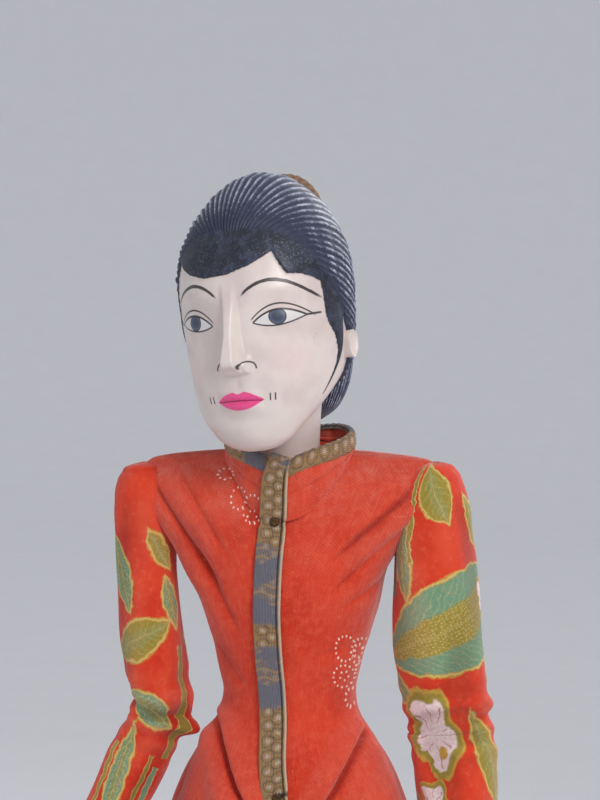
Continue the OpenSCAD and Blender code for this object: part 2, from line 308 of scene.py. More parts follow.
def face_relief(x, z):
    """How far the carving stands forward of the plain oval, in mm; z is above the chin."""
    ax = np.abs(x)
    bridge = np.interp(z, [29.6, 31, 33.2, 35, 45, 58, 66], [0, 4.5, 8.6, 8.8, 5.2, 1.6, 0])
    half = np.interp(z, [29, 34, 45, 60], [3.4, 3.1, 1.9, 2.2])
    nose = bridge * (1 - step(ax, half - 0.8, half + 1.9))
    wing = 4.4 * bell(z - 33.3, 3.1) * (1 - step(ax, 4.2, 7.4)) * step(z, 29.4, 30.8)
    out = np.maximum(nose, wing)
    out -= 1.9 * bell(ax - 13.5, 8.0) * bell(z - 50, 7.0)
    out += 1.5 * bell(ax - 16, 7.5) * bell(z - 50.5, 4.0)
    out += 0.9 * bell(ax - 19, 9) * bell(z - 33, 8) + 0.8 * bell(ax - 16, 12) * bell(z - 61, 3.5)
    t = x / 9.3
    lips = np.clip(1 - t**2, 0, 1)
    out += 1.7 * lips * (bell(z - 21.6, 1.7) + 1.1 * bell(z - 17.6, 2.0)) - 0.9 * lips * bell(z - 19.9, 0.5)
    out -= 0.5 * bell(x, 1.6) * bell(z - 26, 2.4)
    out += 1.6 * bell(x, 8) * bell(z - 5.5, 5) - 0.7 * bell(x, 9) * bell(z - 12.5, 2.2)
    return out


def make_head(material):
    heights = np.concatenate([np.linspace(CHIN, 452, 10), np.linspace(452.6, 540, 176),
                              np.linspace(540.8, CROWN, 26)])
    side = np.linspace(0, 1, 151)
    turn = np.pi * (0.55 * side + 0.45 * side**2.2)
    turn = np.concatenate([-turn[:0:-1], turn[:-1]])
    z, a = np.meshgrid(heights, turn, indexing="ij")
    w = curve_through(SKULL, z)
    x, y = w[..., 0] * np.sin(a), w[..., 2] - w[..., 1] * np.cos(a)
    up = z - CHIN
    front = step(np.cos(a), 0.05, 0.4)
    hair = hair_edge(x, up, w[..., 2] - y)
    y = y - face_relief(x, up) * front
    raise_hair = 0.9 * step(hair, -0.35, 0.5) * step(up, 20, 40)
    out = np.stack([np.sin(a), -np.cos(a), 0.4 * step(up, 80, 107)], -1)
    p = np.stack([x, y, z], -1) + out * raise_hair[..., None]
    n = len(turn)
    faces = grid_faces(len(heights), n, True, cap_low=True, cap_high=True)
    flat = p.reshape(-1, 3)
    return mesh("head_carved", in_row(flat), faces, material, "rod", "head_paint", ["head"],
                face=flat - [0, 0, CHIN], hair=hair.ravel())


def head_material():
    m = Material("painted_face", 0.42, 0.4, coat=0.25)
    at = m.attribute("face")
    x, y, z = m.split(at)
    ax = x.abs()
    fine = m.noise(at, 0.9, 4, 0.6)
    broad = m.noise(at, 0.06, 3, 0.5)
    wobble = (m.noise(at, 0.35, 2) - 0.5) * 0.5
    paint = m.mix(broad.step(0.35, 0.65), rgb(206, 190, 186), rgb(218, 205, 199))
    # Painted shade: the face paint is darker below the chin and down the neck.
    paint = m.mix(((12.0 - z) / 20).clip() * 0.5, paint, rgb(196, 176, 168))
    paint = m.mix(bellish(m, ax - 20, z - 34, 11) * 0.25, paint, rgb(224, 190, 188))
    scuff = m.noise(at, 0.5, 5, 0.75).step(0.62, 0.66) * bellish(m, x - 26, z - 40, 6.5)
    paint = m.mix(scuff * 0.7, paint, rgb(120, 98, 92))
    speck = m.noise(at, 1.6, 2, 0.6).step(0.73, 0.76)
    paint = m.mix(speck * 0.35, paint, rgb(150, 128, 120))

    t = (ax - 17.2) / 8.8
    inside = 1 - t * t
    base = 50.0 + (ax - 17.4) * 0.10
    upper = z - (base + inside * 3.7)
    lower = z - (base - inside * 2.3)
    open_eye = (1 - upper.step(-0.2, 0.2)) * lower.step(-0.2, 0.2) * (1 - t.abs().step(0.98, 1.02))
    iris_d = (ax - 17.2).hypot((z - 51.0) * 0.95)
    ink = upper.line(0.42) * (1 - t.abs().step(0.98, 1.03))
    ink = ink.max(lower.line(0.3) * (1 - t.abs().step(0.96, 1.0)))
    fold = z - (base + inside * 4.2 + 1.7)
    ink = ink.max(fold.line(0.33) * (1 - (ax - 18.0).abs().step(9.6, 10.4)))
    wing = z - (50.9 + (ax - 26.0) * 0.14)
    ink = ink.max(wing.line(0.4) * (1 - (ax - 27.4).abs().step(1.7, 2.3)))
    brow_t = ax - 16.2
    brow = z + wobble - (65.0 - brow_t * brow_t * 0.043)
    ends = 1 - (ax - 17.6).abs().step(11.0, 13.2)
    ink = ink.max(brow.line((ends * 0.45) + 0.22, 0.12) * ends)
    curl = (ax - 5.6).hypot(z - 32.2) - 2.5
    ink = ink.max(curl.line(0.3) * (z - 31.6).step(0, 0.6))
    for far in (11.8, 13.6):
        ink = ink.max((ax - far - (z - 20.5) * 0.12).line(0.26) * (1 - (z - 20.8).abs().step(1.2, 1.6)))
    lip_t = x / 9.6
    lip_in = 1 - lip_t * lip_t
    bow = 1 - ax.step(0.2, 2.6)
    top = z - (20.0 + lip_in * 3.6 - bow * 1.0 + wobble * 0.4)
    low = z - (20.0 - lip_in * 3.7 + wobble * 0.4)
    lips = (1 - top.step(-0.2, 0.2)) * low.step(-0.2, 0.2) * lip_in.step(0.0, 0.02)
    front = 1 - y.step(-24.0, -20.0)
    colour = m.mix(open_eye * front, paint, rgb(214, 208, 208))
    iris = (1 - iris_d.step(2.8, 3.0)) * open_eye * front
    colour = m.mix(iris, colour, m.mix(iris_d.step(1.2, 3.4), rgb(58, 66, 86), rgb(98, 106, 126)))
    colour = m.mix((iris_d - 2.85).line(0.18) * open_eye * front, colour, rgb(24, 22, 28))
    colour = m.mix(lips * front, colour, m.mix(fine, rgb(214, 44, 116), rgb(236, 92, 150)))
    colour = m.mix(lips * front * (z - 20.0 + (ax * ax) * 0.004).line(0.22), colour, rgb(140, 24, 74))
    colour = m.mix(ink * front * 0.94, colour, rgb(26, 22, 26))
    edge = m.number("hair") + (m.noise(at, 0.8, 3) - 0.5) * 0.7
    hair_paint = m.mix(m.noise(at, 0.25, 5, 0.7).step(0.42, 0.7), rgb(20, 23, 36), rgb(50, 56, 78))
    rubbed = m.noise(at, 1.3, 5, 0.8).step(0.52, 0.66) * (0.35 + bellish(m, x - 22, z - 76, 14.0) * 0.5)
    hair_paint = m.mix(rubbed, hair_paint, rgb(112, 118, 136))
    colour = m.mix(edge.step(-0.25, 0.15), colour, hair_paint)
    m.colour(colour)
    m.rough((fine * 0.18 + 0.30) + edge.step(-0.2, 0.2) * 0.3)
    m.bump(fine * 0.5 + broad + ink * 0.4, 0.00025, 0.5)
    return m


def bellish(m, dx, dz, size):
    """1 at a spot and 0 outside size."""
    return 1 - (dx.hypot(dz) / size).step(0.2, 1.0)


HAIR_HUB = np.array([0.0, -14.0, 503.0])
HAIR_TILT = math.radians(24)
RIDGES = 84


def strand_crest(n, per):
    """Rounded crests round a ring of n points with so many points to a strand."""
    return (0.5 - 0.5 * np.cos(2 * np.pi * (np.arange(n) % per) / per)) ** 1.1


def make_hair_cap(material):
    """Carved strands that fan from the forehead and run back to the bun."""
    per, rows = 5, 64
    n = RIDGES * per
    phi = turns(n)
    from_up = np.abs((np.degrees(phi) + 180) % 360 - 180)
    start = np.interp(from_up, [0, 30, 60, 80, 96, 112, 135, 180], [9.5, 13.5, 29, 46, 75, 99, 111, 118])
    s = np.linspace(0, 1, rows)[:, None]
    alpha = np.radians(start[None, :] + (172 - start[None, :]) * s)
    front = np.array([0, -math.cos(HAIR_TILT), math.sin(HAIR_TILT)])
    up = np.array([0, math.sin(HAIR_TILT), math.cos(HAIR_TILT)])
    side = np.array([1.0, 0, 0])
    around = np.cos(phi)[:, None] * up + np.sin(phi)[:, None] * side
    d = np.cos(alpha)[..., None] * front + np.sin(alpha)[..., None] * around[None]
    flat = d.reshape(-1, 3)
    far = skull_at(flat, HAIR_HUB).reshape(rows, n)
    crest = strand_crest(n, per)
    strand = np.arange(n) // per
    wave = 0.75 + 0.25 * np.sin(strand * 2.4)[None, :] * np.cos(5 * s + strand[None, :])
    nick = (np.sin(26 * s * np.pi + 1.3 * strand[None, :]) > 0.55) * step(from_up, 35, 60)[None, :]
    depth = (1.15 * crest[None, :] * wave - 0.6 * nick * crest[None, :]) * step(s, 0.0, 0.10)
    lift = -1.2 + 2.3 * step(s, 0, 0.08) + 0 * far
    r = far + lift + depth
    p = HAIR_HUB + d * r[..., None]
    faces = grid_faces(rows, n, True, cap_high=True)
    wear = (crest[None, :] * (1 - 0.5 * nick) * step(s, 0.02, 0.2) + 0 * far)
    return mesh("hair_strands", in_row(p.reshape(-1, 3)), faces, material, "rod", "hair_paint",
                wear=wear.ravel(), face=p.reshape(-1, 3) - [0, 0, CHIN])


def make_bun(material):
    per, rows = 5, 56
    strands = 54
    n = strands * per
    a = turns(n)
    t = np.linspace(0, 1, rows)
    form = [(0, 2, 2, 25.5), (0.03, 6, 5, 25.8), (0.12, 11.5, 10.5, 26), (0.3, 16, 14.2, 26.4),
            (0.55, 17.2, 15.4, 26.6), (0.75, 15.5, 14.2, 25.5), (0.9, 10.8, 10.5, 23.5), (1, 5.5, 5.5, 21.5)]
    w = curve_through(form, t)
    z = 457.5 + 73.5 * t
    crest = strand_crest(n, per)
    strand = np.arange(n) // per
    twist = 0.12 * np.sin(3 * t)[:, None]
    wave = 0.7 + 0.3 * np.sin(strand * 1.9 + 4 * t[:, None])
    depth = crest[None] * wave * step(t, 0.01, 0.1)[:, None]
    ang = a[None] + twist
    x = (w[:, 0:1] + depth) * np.sin(ang)
    y = w[:, 2:3] - (w[:, 1:2] + depth) * np.cos(ang)
    zz = z[:, None] + 0.8 * np.sin(3 * ang) * step(-t, -0.2, 0)[:, None]
    p = np.stack([x, y, zz + 0 * x], -1).reshape(-1, 3)
    faces = grid_faces(rows, n, True, cap_low=True, cap_high=True)
    return mesh("hair_bun_carved", in_row(p), faces, material, "rod", "hair_paint", ["hair_bun"],
                wear=(crest[None] + 0 * x).ravel(), face=p - [0, 0, CHIN])


def hair_material():
    m = Material("carved_hair", 0.5, 0.35, coat=0.1)
    at = m.attribute("face")
    worn = m.number("wear")
    patch = m.noise(at, 0.14, 4, 0.65)
    fine = m.noise(at, 1.1, 4, 0.7)
    deep = m.mix(fine, rgb(20, 22, 36), rgb(62, 68, 96))
    crest = m.mix(patch.step(0.35, 0.65), rgb(116, 122, 148), rgb(174, 178, 196))
    rub = (worn + (fine - 0.5) * 1.5).step(0.42, 1.0) * (patch.step(0.28, 0.6) * 0.6 + 0.4)
    m.colour(m.mix(rub, deep, crest))
    m.rough(0.62 - rub * 0.2)
    m.bump(fine, 0.0003, 0.7)
    return m


def make_comb(material):
    """A rounded, ribbed crest set behind the crown."""
    rows, n = 20, 84
    s = np.linspace(0, 1, rows)[:, None]
    a = np.linspace(-0.58 * np.pi, 0.58 * np.pi, n)[None]
    rib = 0.5 + 0.5 * np.cos(30 * a)
    radius = 18.2 * (0.25 + 0.75 * s) + 0.35 * rib * step(s, 0.3, 0.9)
    thick = 1.6 + 1.9 * np.sin(np.pi * s.clip(0, 1)) ** 0.6
    thick = thick + 0.45 * rib * step(s, 0.2, 0.5) * (1 - step(s, 0.9, 1))
    parts, tone = [], []
    for face in (-1, 1):
        x = 0.92 * radius * np.sin(a)
        z = 538.5 + radius * np.cos(a)
        y = 9.0 + face * thick * np.sqrt(np.clip(1.02 - s**6, 0.0, 1)) + 1.2 * s
        parts.append(np.stack([x, y + 0 * x, z], -1).reshape(-1, 3))
        tone.append((rib * 0.5 + 0.5 * s + 0 * x).ravel())
    p = np.concatenate(parts)
    g = rows * n
    faces = grid_faces(rows, n) + [tuple(i + g for i in f)[::-1] for f in grid_faces(rows, n)]
    edge = list(range(n)) + [i * n + n - 1 for i in range(1, rows)]
    edge += [(rows - 1) * n + j for j in range(n - 2, -1, -1)] + [i * n for i in range(rows - 2, 0, -1)]
    for k, i in enumerate(edge):
        j = edge[(k + 1) % len(edge)]
        faces.append((j, i, i + g, j + g))
    return mesh("hair_comb_carved", in_row(p), faces, material, "rod", "comb_wood", ["hair_comb"],
                face=p - [0, 0, CHIN], wear=np.concatenate(tone))


def comb_material():
    m = Material("stained_comb", 0.6, 0.25)
    at = m.attribute("face")
    grain = m.noise(m.scaled(at, (1, 1, 0.25)), 0.8, 5, 0.7)
    tone = m.mix(grain, rgb(70, 50, 42), rgb(146, 112, 88))
    m.colour(m.mix((m.number("wear") - 0.5).clip() * 0.6, tone, rgb(186, 152, 118)))
    m.bump(grain, 0.0004, 0.6)
    return m


def make_ears(material):
    rows, n = 22, 40
    for name, s in SIDES:
        v = np.linspace(0, 1, rows)[:, None]
        a = turns(n)[None]
        r = np.sin(v * np.pi / 2)
        rim = bell(v - 0.80, 0.16)
        bowl = bell(v, 0.45)
        tall = 6.0 - 1.2 * (np.cos(a) < 0) * np.abs(np.cos(a))
        y = r * 4.4 * np.sin(a) * (0.82 + 0.18 * np.cos(a))
        z = r * tall * np.cos(a)
        x = 1.9 + 0.9 * rim - 0.7 * bowl - 3.6 * step(v, 0.85, 1.0)
        x = x + 0.55 * (y * np.sin(0.4)) * 0.5
        p = np.stack([s * (31.8 + x), -13.6 + y, 486.0 + z], -1).reshape(-1, 3)
        faces = grid_faces(rows, n, True)
        mesh(name + "_ear", in_row(p), faces, material, "rod", "head_paint",
             face=p * [0.0, 1, 1] + [0, 400, 0], hair=np.full(len(p), -9.0))


def make_neck(material):
    rows, n = 40, 72
    t = np.linspace(0, 1, rows)
    z = 426 + 46 * t
    r = curve_through([(0, 11.4), (0.3, 11.6), (0.5, 11.9), (0.8, 12.6), (1, 13.4)], t)[:, 0]
    a = turns(n)
    p = np.stack(np.broadcast_arrays(np.outer(r, np.sin(a)), -np.outer(r, np.cos(a)), z[:, None]), -1)
    p = p.reshape(-1, 3)
    faces = grid_faces(rows, n, True, cap_low=True, cap_high=True)
    mesh("neck_carved", p, faces, material, "rod", "head_paint", face=p * [0, 0, 1] + [0, 400, -CHIN],
         hair=np.full(len(p), -9.0))


# ---------------------------------------------------------------- cloth
def normals_of(grid, round_it):
    """Unit normals of a grid of points."""
    du = np.roll(grid, -1, 1) - np.roll(grid, 1, 1) if round_it else np.gradient(grid, axis=1)
    normal = np.cross(du, np.gradient(grid, axis=0))
    return normal / np.maximum(np.linalg.norm(normal, axis=-1, keepdims=True), 1e-9)


def thicken(grid, thickness, round_it, flip=1.0):
    """Points and faces of a cloth grid with a second layer inside it, closed along its edges."""
    rows, columns = grid.shape[:2]
    inner = grid - flip * normals_of(grid, round_it) * thickness
    layer = rows * columns
    faces = grid_faces(rows, columns, round_it)
    faces = faces + [tuple(i + layer for i in f)[::-1] for f in faces]
    last = (rows - 1) * columns
    edges = []
    for j in range(columns if round_it else columns - 1):
        k = (j + 1) % columns
        edges += [(k, j), (last + j, last + k)]
    if not round_it:
        for a in range(0, last, columns):
            b, end = a + columns, columns - 1
            edges += [(a, b), (b + end, a + end)]
    faces += [(i, j, j + layer, i + layer) for i, j in edges]
    return np.concatenate([grid.reshape(-1, 3), inner.reshape(-1, 3)]), faces


def cloth_piece(name, grid, cloth, thickness, material, slot, node, body="torso", round_it=False, flip=1.0,
                cut=None):
    """A sheet of cloth over a grid of points; cloth is its unrolled place and its relief, per point."""
    points, faces = thicken(grid, thickness, round_it, flip)
    if cut:
        faces = cut(points, faces)
    cloth = np.stack(np.broadcast_arrays(*cloth), -1).reshape(-1, 3)
    return mesh(name, points, faces, material, body, slot, [node], cloth=np.concatenate([cloth, cloth]))


def crease(x, z, start, end, deep, wide, ridge=0.6):
    """Relief of one cloth fold from start to end: a groove with a rounded ridge along its upper side."""
    a, b = np.array(start, float), np.array(end, float)
    d = b - a
    size = np.hypot(*d)
    d /= size
    along = ((x - a[0]) * d[0] + (z - a[1]) * d[1]) / size
    off = -(x - a[0]) * d[1] + (z - a[1]) * d[0]
    window = step(along, -0.08, 0.22) * (1 - step(along, 0.70, 1.10))
    raised = ridge * bell(off - 1.9 * wide, 1.3 * wide)
    return deep * window * (raised - np.exp(-np.abs(off) / (0.55 * wide)))


def smooth_noise(x, y, z, seed, octaves=3):
    """Cheap smooth pseudo-noise from sums of waves, about -1 to 1."""
    r = np.random.default_rng(seed)
    total, size, weight = 0.0, 1.0, 0.0
    for _ in range(octaves):
        for _ in range(4):
            k = r.normal(size=3)
            total = total + size * np.sin(k[0] * x + k[1] * y + k[2] * z + r.uniform(0, 6.3))
            weight += size * 0.5
        x, y, z, size = x * 2.1, y * 2.1, z * 2.1, size * 0.5
    return total / weight


JACKET = [  # height, half width, depth in front, depth behind, squareness of the section
    (288, 51.5, 43, 43, 2.0), (300, 49, 40.5, 40.5, 2.0), (316, 43, 35.5, 35.5, 2.0),
    (330, 35, 28.5, 28.5, 2.0), (340, 28.6, 23.6, 23.6, 2.0), (348, 26.8, 22.2, 22.2, 2.1),
    (362, 29.3, 23.6, 23.6, 2.2),
    (382, 34.5, 26.0, 25.5, 2.3), (398, 39.5, 26.3, 25.5, 2.4), (410, 46.0, 24.6, 24.6, 2.6),
    (420, 53.0, 21.6, 23.4, 2.9), (428, 58.2, 17.6, 22.0, 3.0), (434, 60.8, 13.6, 21.0, 3.0),
    (438, 60.8, 9.8, 20.2, 2.8), (441, 58.5, 6.6, 19.6, 2.5), (443.4, 52, 4.2, 19.0, 2.2),
    (445.2, 36, 2.6, 18.6, 2.0), (446.0, 24.4, 0.8, 18.0, 2.0),
]
HEM, NECKLINE = JACKET[0][0], JACKET[-1][0]


def jacket_section(z, a):
    """Points of the jacket's surface by height and angle, which grows from the front to the figure's left."""
    w = curve_through(JACKET, z)
    sa, ca = np.sin(a), np.cos(a)
    power = 2 / w[..., 3]
    x = w[..., 0] * np.sign(sa) * np.abs(sa) ** power
    y = -np.where(ca > 0, w[..., 1], w[..., 2]) * np.sign(ca) * np.abs(ca) ** power
    return x, y


def jacket_relief(x, y, z):
    """Folds of the jacket's cloth, outward in mm."""
    front = step(-y, 0, 8)
    back = step(y, 0, 8)
    out = 0.0
    for start, end, deep, wide in (
            ((61, 440), (20, 404), 2.6, 3.0), ((56, 425), (16, 388), 1.5, 3.4),
            ((46, 401), (22, 384), 1.2, 2.4), ((38, 448), (6, 428), 0.7, 1.6),
            ((60, 434), (34, 414), 1.0, 2.0), ((34, 372), (10, 366), 0.5, 3.0)):
        out = out + front * crease(x, z, start, end, deep, wide)
    for start, end, deep, wide in (
            ((-24, 391), (-59, 440), 2.4, 3.0), ((-16, 374), (-38, 414), 1.5, 3.2),
            ((-20, 404), (-44, 440), 1.3, 2.6), ((-8, 412), (-24, 444), 0.9, 2.2),
            ((-14, 352), (-30, 372), 0.7, 3.0)):
        out = out + front * crease(x, z, start, end, deep, wide, 0.8)
    for s in (1, -1):
        out = out + back * crease(s * x, z, (58, 436), (14, 398), 1.8, 3.4) * 0.8
        out = out + back * crease(s * x, z, (44, 404), (14, 372), 1.2, 3.0) * 0.8
        out = out + crease(s * x, z, (44, 412), (30, 352), 0.9, 2.6) * (1 - front * 0.4)
    # the rounded V of the bodice lies over the flaring lower part
    edge = np.interp(z, [300, 306, 310, 316, 324, 334, 342, 346], [3, 10, 14.5, 18.5, 22.5, 27, 31, 34])
    off = np.abs(x - 3.0) - edge
    below = step(z, 296, 303) * (1 - step(z, 340, 346))
    out = out + front * below * (2.4 * (1 - step(off, -0.6, 0.5)) * step(off, -14, -1)
                                 - 2.6 * bell(off - 1.2, 1.6) + 1.6 * bell(off - 10, 5))
    low = 1 - step(z, 318, 344)
    wave = np.arctan2(x, -y)
    flare = (345 - z.clip(286, 345)) / 58
    sides = step(off, 0, 6) * front + (1 - front)
    out = out + low * sides * 2.6 * flare * np.sin(7 * wave + 1.1 * np.sin(3 * wave) + 0.4 * flare)
    for s, at in ((1, (36, 344)), (-1, (-34, 340))):
        out = out + front * crease(x, z, at, (at[0] + s * 15, 300), 1.6, 3.2)
    out = out + 0.5 * smooth_noise(x / 16, y / 16, z / 18, 3) + 0.16 * smooth_noise(x / 5, y / 5, z / 6, 5)
    return out


def cut_armholes(points, faces):
    """Take away the side of the jacket where an arm leaves it, and close the hole's rim."""
    layer = len(points) // 2
    x, y, z = points[:layer].T
    hole = (np.hypot((np.abs(x) - 60.5) / 10.5, y / 12) < 1) & (np.abs(z - 426.5) < 10.5)
    kept = [f for f in faces if not all(hole[v % layer] for v in f)]
    edges = {(a, b) for f in kept for a, b in zip(f, f[1:] + f[:1])}
    rim = [(b, a, a + layer, b + layer) for a, b in edges
           if b < layer and a < layer and (b, a) not in edges]
    return kept + rim


def make_jacket(material):
    rows, columns = 236, 372
    z1 = np.concatenate([np.linspace(HEM, 432, rows - 50), np.linspace(432.5, NECKLINE, 50)])
    z, a = np.meshgrid(z1, turns(columns), indexing="ij")
    x, y = jacket_section(z, a)
    g = np.stack([x, y, z], -1)
    relief = jacket_relief(x, y, z) * step(NECKLINE - z, 0, 8) * (1 - 0.8 * bell(x, 24) * step(z, 424, 436))
    g = g + normals_of(g, True) * relief[..., None]
    g[..., 2] += (1 - step(z, HEM, HEM + 8)) * 1.4 * np.sin(5 * a + 1)
    girth = np.concatenate([[0], np.cumsum(np.hypot(np.diff(x[60]), np.diff(y[60])))])
    return cloth_piece("jacket_cloth", g, (girth, z, relief), 0.8, material, "jacket_cloth", "jacket",
                       round_it=True, cut=cut_armholes)


def foremost(m, kept, score, fields):
    """Of overlapping shapes, keep the fields of the one that scores highest at a point."""
    if kept is None:
        return score, fields
    return score.max(kept[0]), m.mix(score.above(kept[0]), kept[1], fields)


def weave(m, u, v, pitch):
    """Height of a plain weave with slubby threads, 0 to 1."""
    k = 2 * math.pi / pitch
    slub = m.noise(m.join(u * 0.25, v * 2.4), 1.0, 3)
    slub2 = m.noise(m.join(u * 2.4, v * 0.25), 1.0, 3)
    over = (u * (k / 2)).sin() * (v * (k / 2)).sin()
    return (over * 0.25 + 0.5) * 0.55 + (slub + slub2) * 0.25


DOTTED_RINGS = [  # ovals of wax dots on the front: middle across and up, radii, number of dots
    (24.6, 369, 3.4, 5.2, 15), (29.6, 366.5, 3.0, 5.6, 15), (23.6, 357.5, 3.5, 4.6, 14),
    (29.4, 359, 2.0, 3.4, 10), (23.8, 357.6, 1.4, 1.9, 5), (28.8, 367, 1.3, 2.8, 7),
    (-17.5, 428, 3.2, 4.2, 11), (-11.5, 424, 4.0, 5.6, 14),
    (-24, 437, 3.2, 2.0, 9), (-11.8, 421, 1.8, 2.4, 6), (25.5, 348.0, 1.6, 3.6, 9),
]


def jacket_material():
    m = Material("vermilion_cotton", 0.88, 0.12, sheen=0.25)
    u, v, relief = m.split(m.attribute("cloth"))
    at = m.place()
    x, y, z = m.split(at)
    cloth = weave(m, u, v, 0.62)
    broad = m.noise(at, 0.035, 3, 0.55)
    mottled = m.noise(at, 0.35, 4, 0.65)
    red = m.mix(broad.step(0.3, 0.7), rgb(196, 48, 26), rgb(212, 64, 38))
    red = m.mix(mottled.step(0.4, 0.75) * 0.55, red, rgb(222, 88, 60))
    slub = m.noise(m.join(u * 1.6, v * 0.12), 1.0, 3, 0.6)
    red = m.mix(slub.step(0.45, 0.75) * 0.35, red, rgb(226, 104, 76))
    high = ((z - 395) / 50.0).clip()
    dust = (m.noise(at, 0.09, 4, 0.7).step(0.45, 0.75) * 0.6 + 0.15) * high
    # Dust, paler towards the shoulders, plus a painted highlight on the raised fold ridges.
    red = m.mix(dust * 0.75 + relief.clip() * 0.12, red, rgb(214, 124, 108))
    streak = m.noise(m.scaled(at, (0.25, 0.25, 1.2)), 0.22, 4, 0.6).step(0.66, 0.76) * high
    red = m.mix(streak * 0.5, red, rgb(240, 190, 176))
    # Painted shade: darker red in the fold grooves.
    red = m.mix((-relief - 0.2).clip() * 0.45, red, rgb(130, 20, 10))
    # Painted shade: darker in the hollows between the threads of the weave.
    red = m.mix(cloth.step(0.25, 0.55) * -0.5 + 0.5, red, rgb(158, 30, 14))
    front = 1 - y.step(-4.0, 0.0)
    kept = None
    for cx, cz, rx, rz, count in DOTTED_RINGS:
        px, pz = (x - cx) / rx, (z - cz) / rz
        off = (px.hypot(pz) - 1.0) * min(rx, rz)
        turn = px.turn_from(pz) * (count / (2 * math.pi))
        kept = foremost(m, kept, -off.abs(), m.join(turn, math.pi * (rx + rz) / count, 0.0))
    turn, pitch, _ = m.split(kept[1])
    dots = 1 - kept[0].hypot((turn.fract() - 0.5) * pitch).step(0.26, 0.50)
    wax = m.noise(at, 0.8, 3).step(0.35, 0.6) * 0.5 + 0.4
    red = m.mix(dots * front * wax, red, rgb(246, 226, 210))
    pill = m.noise(at, 1.4, 3).step(0.72, 0.75)
    red = m.mix(pill * 0.5, red, rgb(240, 200, 190))
    m.colour(red)
    m.bump(cloth * 0.8 + mottled * 0.6 + slub * 0.3, 0.0006, 1.0)
    return m


# ---------------------------------------------------------------- collar and front strip
COLLAR_BASE = [(0, 420.5), (15, 422), (30, 425.5), (60, 435), (90, 442), (120, 444.5), (180, 445)]
COLLAR_TOP = [(0, 441.5), (12, 444.5), (30, 447.5), (60, 450.6), (90, 453.2), (118, 455.4), (180, 453.8)]


def collar_point(theta, t, out=0.0):
    """Point of the collar by angle from the front, in degrees, and height share; out is outward in mm."""
    s = np.abs(theta)
    base = curve_through(COLLAR_BASE, s)[..., 0]
    top = curve_through(COLLAR_TOP, s)[..., 0]
    wide = curve_through([(0, 24.5), (60, 24.8), (90, 25.2), (140, 24), (180, 22)], s)[..., 0]
    deep = curve_through([(0, 23.6), (40, 22.8), (90, 21), (140, 19.8), (180, 18.6)], s)[..., 0]
    lean = np.interp(s, [0, 40, 90, 130, 180], [-0.6, -0.4, 0.0, -0.4, -1.6])
    r = np.radians(theta)
    grow = out + lean * t + 0.7 * np.sin(np.pi * t)
    x = (wide + grow) * np.sin(r)
    y = -(deep + grow) * np.cos(r)
    return np.stack([x + 0 * t, y + 0 * t, base + (top - base) * t], -1)


COLLAR_FROM, COLLAR_TO = 3.0, 354.0    # degrees round the neck, from the front to the figure's left


def make_collar(material):
    rows, columns = 34, 300
    theta = np.linspace(COLLAR_FROM, COLLAR_TO, columns)[None]
    theta = np.where(theta > 180, theta - 360, theta)
    t = np.linspace(-0.06, 1, rows)[:, None]
    p = collar_point(theta + 0 * t, t + 0 * theta)
    seam = -0.55 * bell(t - 0.42, 0.03) + 0.35 * bell(t - 0.50, 0.06) - 0.4 * bell(t - 0.02, 0.04)
    ripple = 0.35 * np.sin(theta / 7.0) * bell(t - 0.2, 0.3)
    ripple = ripple + 0.25 * np.sin(theta / 3.1 + 1) * bell(t - 0.6, 0.4)
    r = np.radians(theta)
    p[..., 0] += (seam + ripple) * np.sin(r)
    p[..., 1] -= (seam + ripple) * np.cos(r)
    cloth = (np.linspace(0, 145, columns), t * 20, seam + ripple)
    return cloth_piece("collar_band", p, cloth, 1.1, material, "jacket_cloth", "collar")


def strip_grid(centre, across, lift, half, rows_across=15, hump=0.7, edge=None):
    """A bound strip along centre points; across and lift are unit vectors there, half its half width."""
    w = np.linspace(-1, 1, rows_across)[:, None, None]
    dome = hump * (1 - np.abs(w) ** 3.0)
    g = centre[None] + across[None] * w * half[None, :, None] + lift[None] * dome
    if edge is not None:
        roll = 0.75 * bell(w - 0.90, 0.10) - 0.55 * bell(w - 0.70, 0.06)
        g = g + lift[None] * roll * edge[None, :, None]
    return g


def make_trim(material):
    """The binding over the collar's top edge, and the front strip that it runs down into."""
    columns = 320
    theta = np.linspace(COLLAR_FROM + 3, COLLAR_TO, columns)
    theta = np.where(theta > 180, theta - 360, theta)
    reach = 6.4 / (collar_point(theta, 1.0) - collar_point(theta, 0.0))[:, 2]
    rows = [collar_point(theta, 1 - (1 - depth) * reach, out) for depth, out in (
        (0.0, 0.25), (0.25, 0.75), (0.5, 0.95), (0.75, 1.0), (0.93, 0.9), (1.03, 0.4),
        (1.06, -0.7), (1.0, -1.7), (0.85, -1.9), (0.7, -1.9))]
    g = np.array(rows)
    g[..., 2] += 0.18 * np.sin(np.arange(columns) * 0.9)[None]
    cloth = (np.linspace(-5.5, 5.5, len(rows))[:, None], np.linspace(20, 170, columns), 0.0)
    return cloth_piece("collar_binding", g, cloth, 0.35, material, "batik_trim", "collar_trim")


def placket_line(z):
    return curve_through([(288, 2.5), (306, 1.2), (325, -1.6), (346, -3.0), (378, -4.8), (402, -4.2),
                          (425, -2.6), (437, -1.6), (447, 1.2)], z)[..., 0]


def front_y(x, z):
    """The jacket's front surface at x and z, by walking its section."""
    w = curve_through(JACKET, z)
    return -w[..., 1] * (1 - np.clip(np.abs(x) / w[..., 0], 0, 0.999) ** w[..., 3]) ** (1 / w[..., 3])


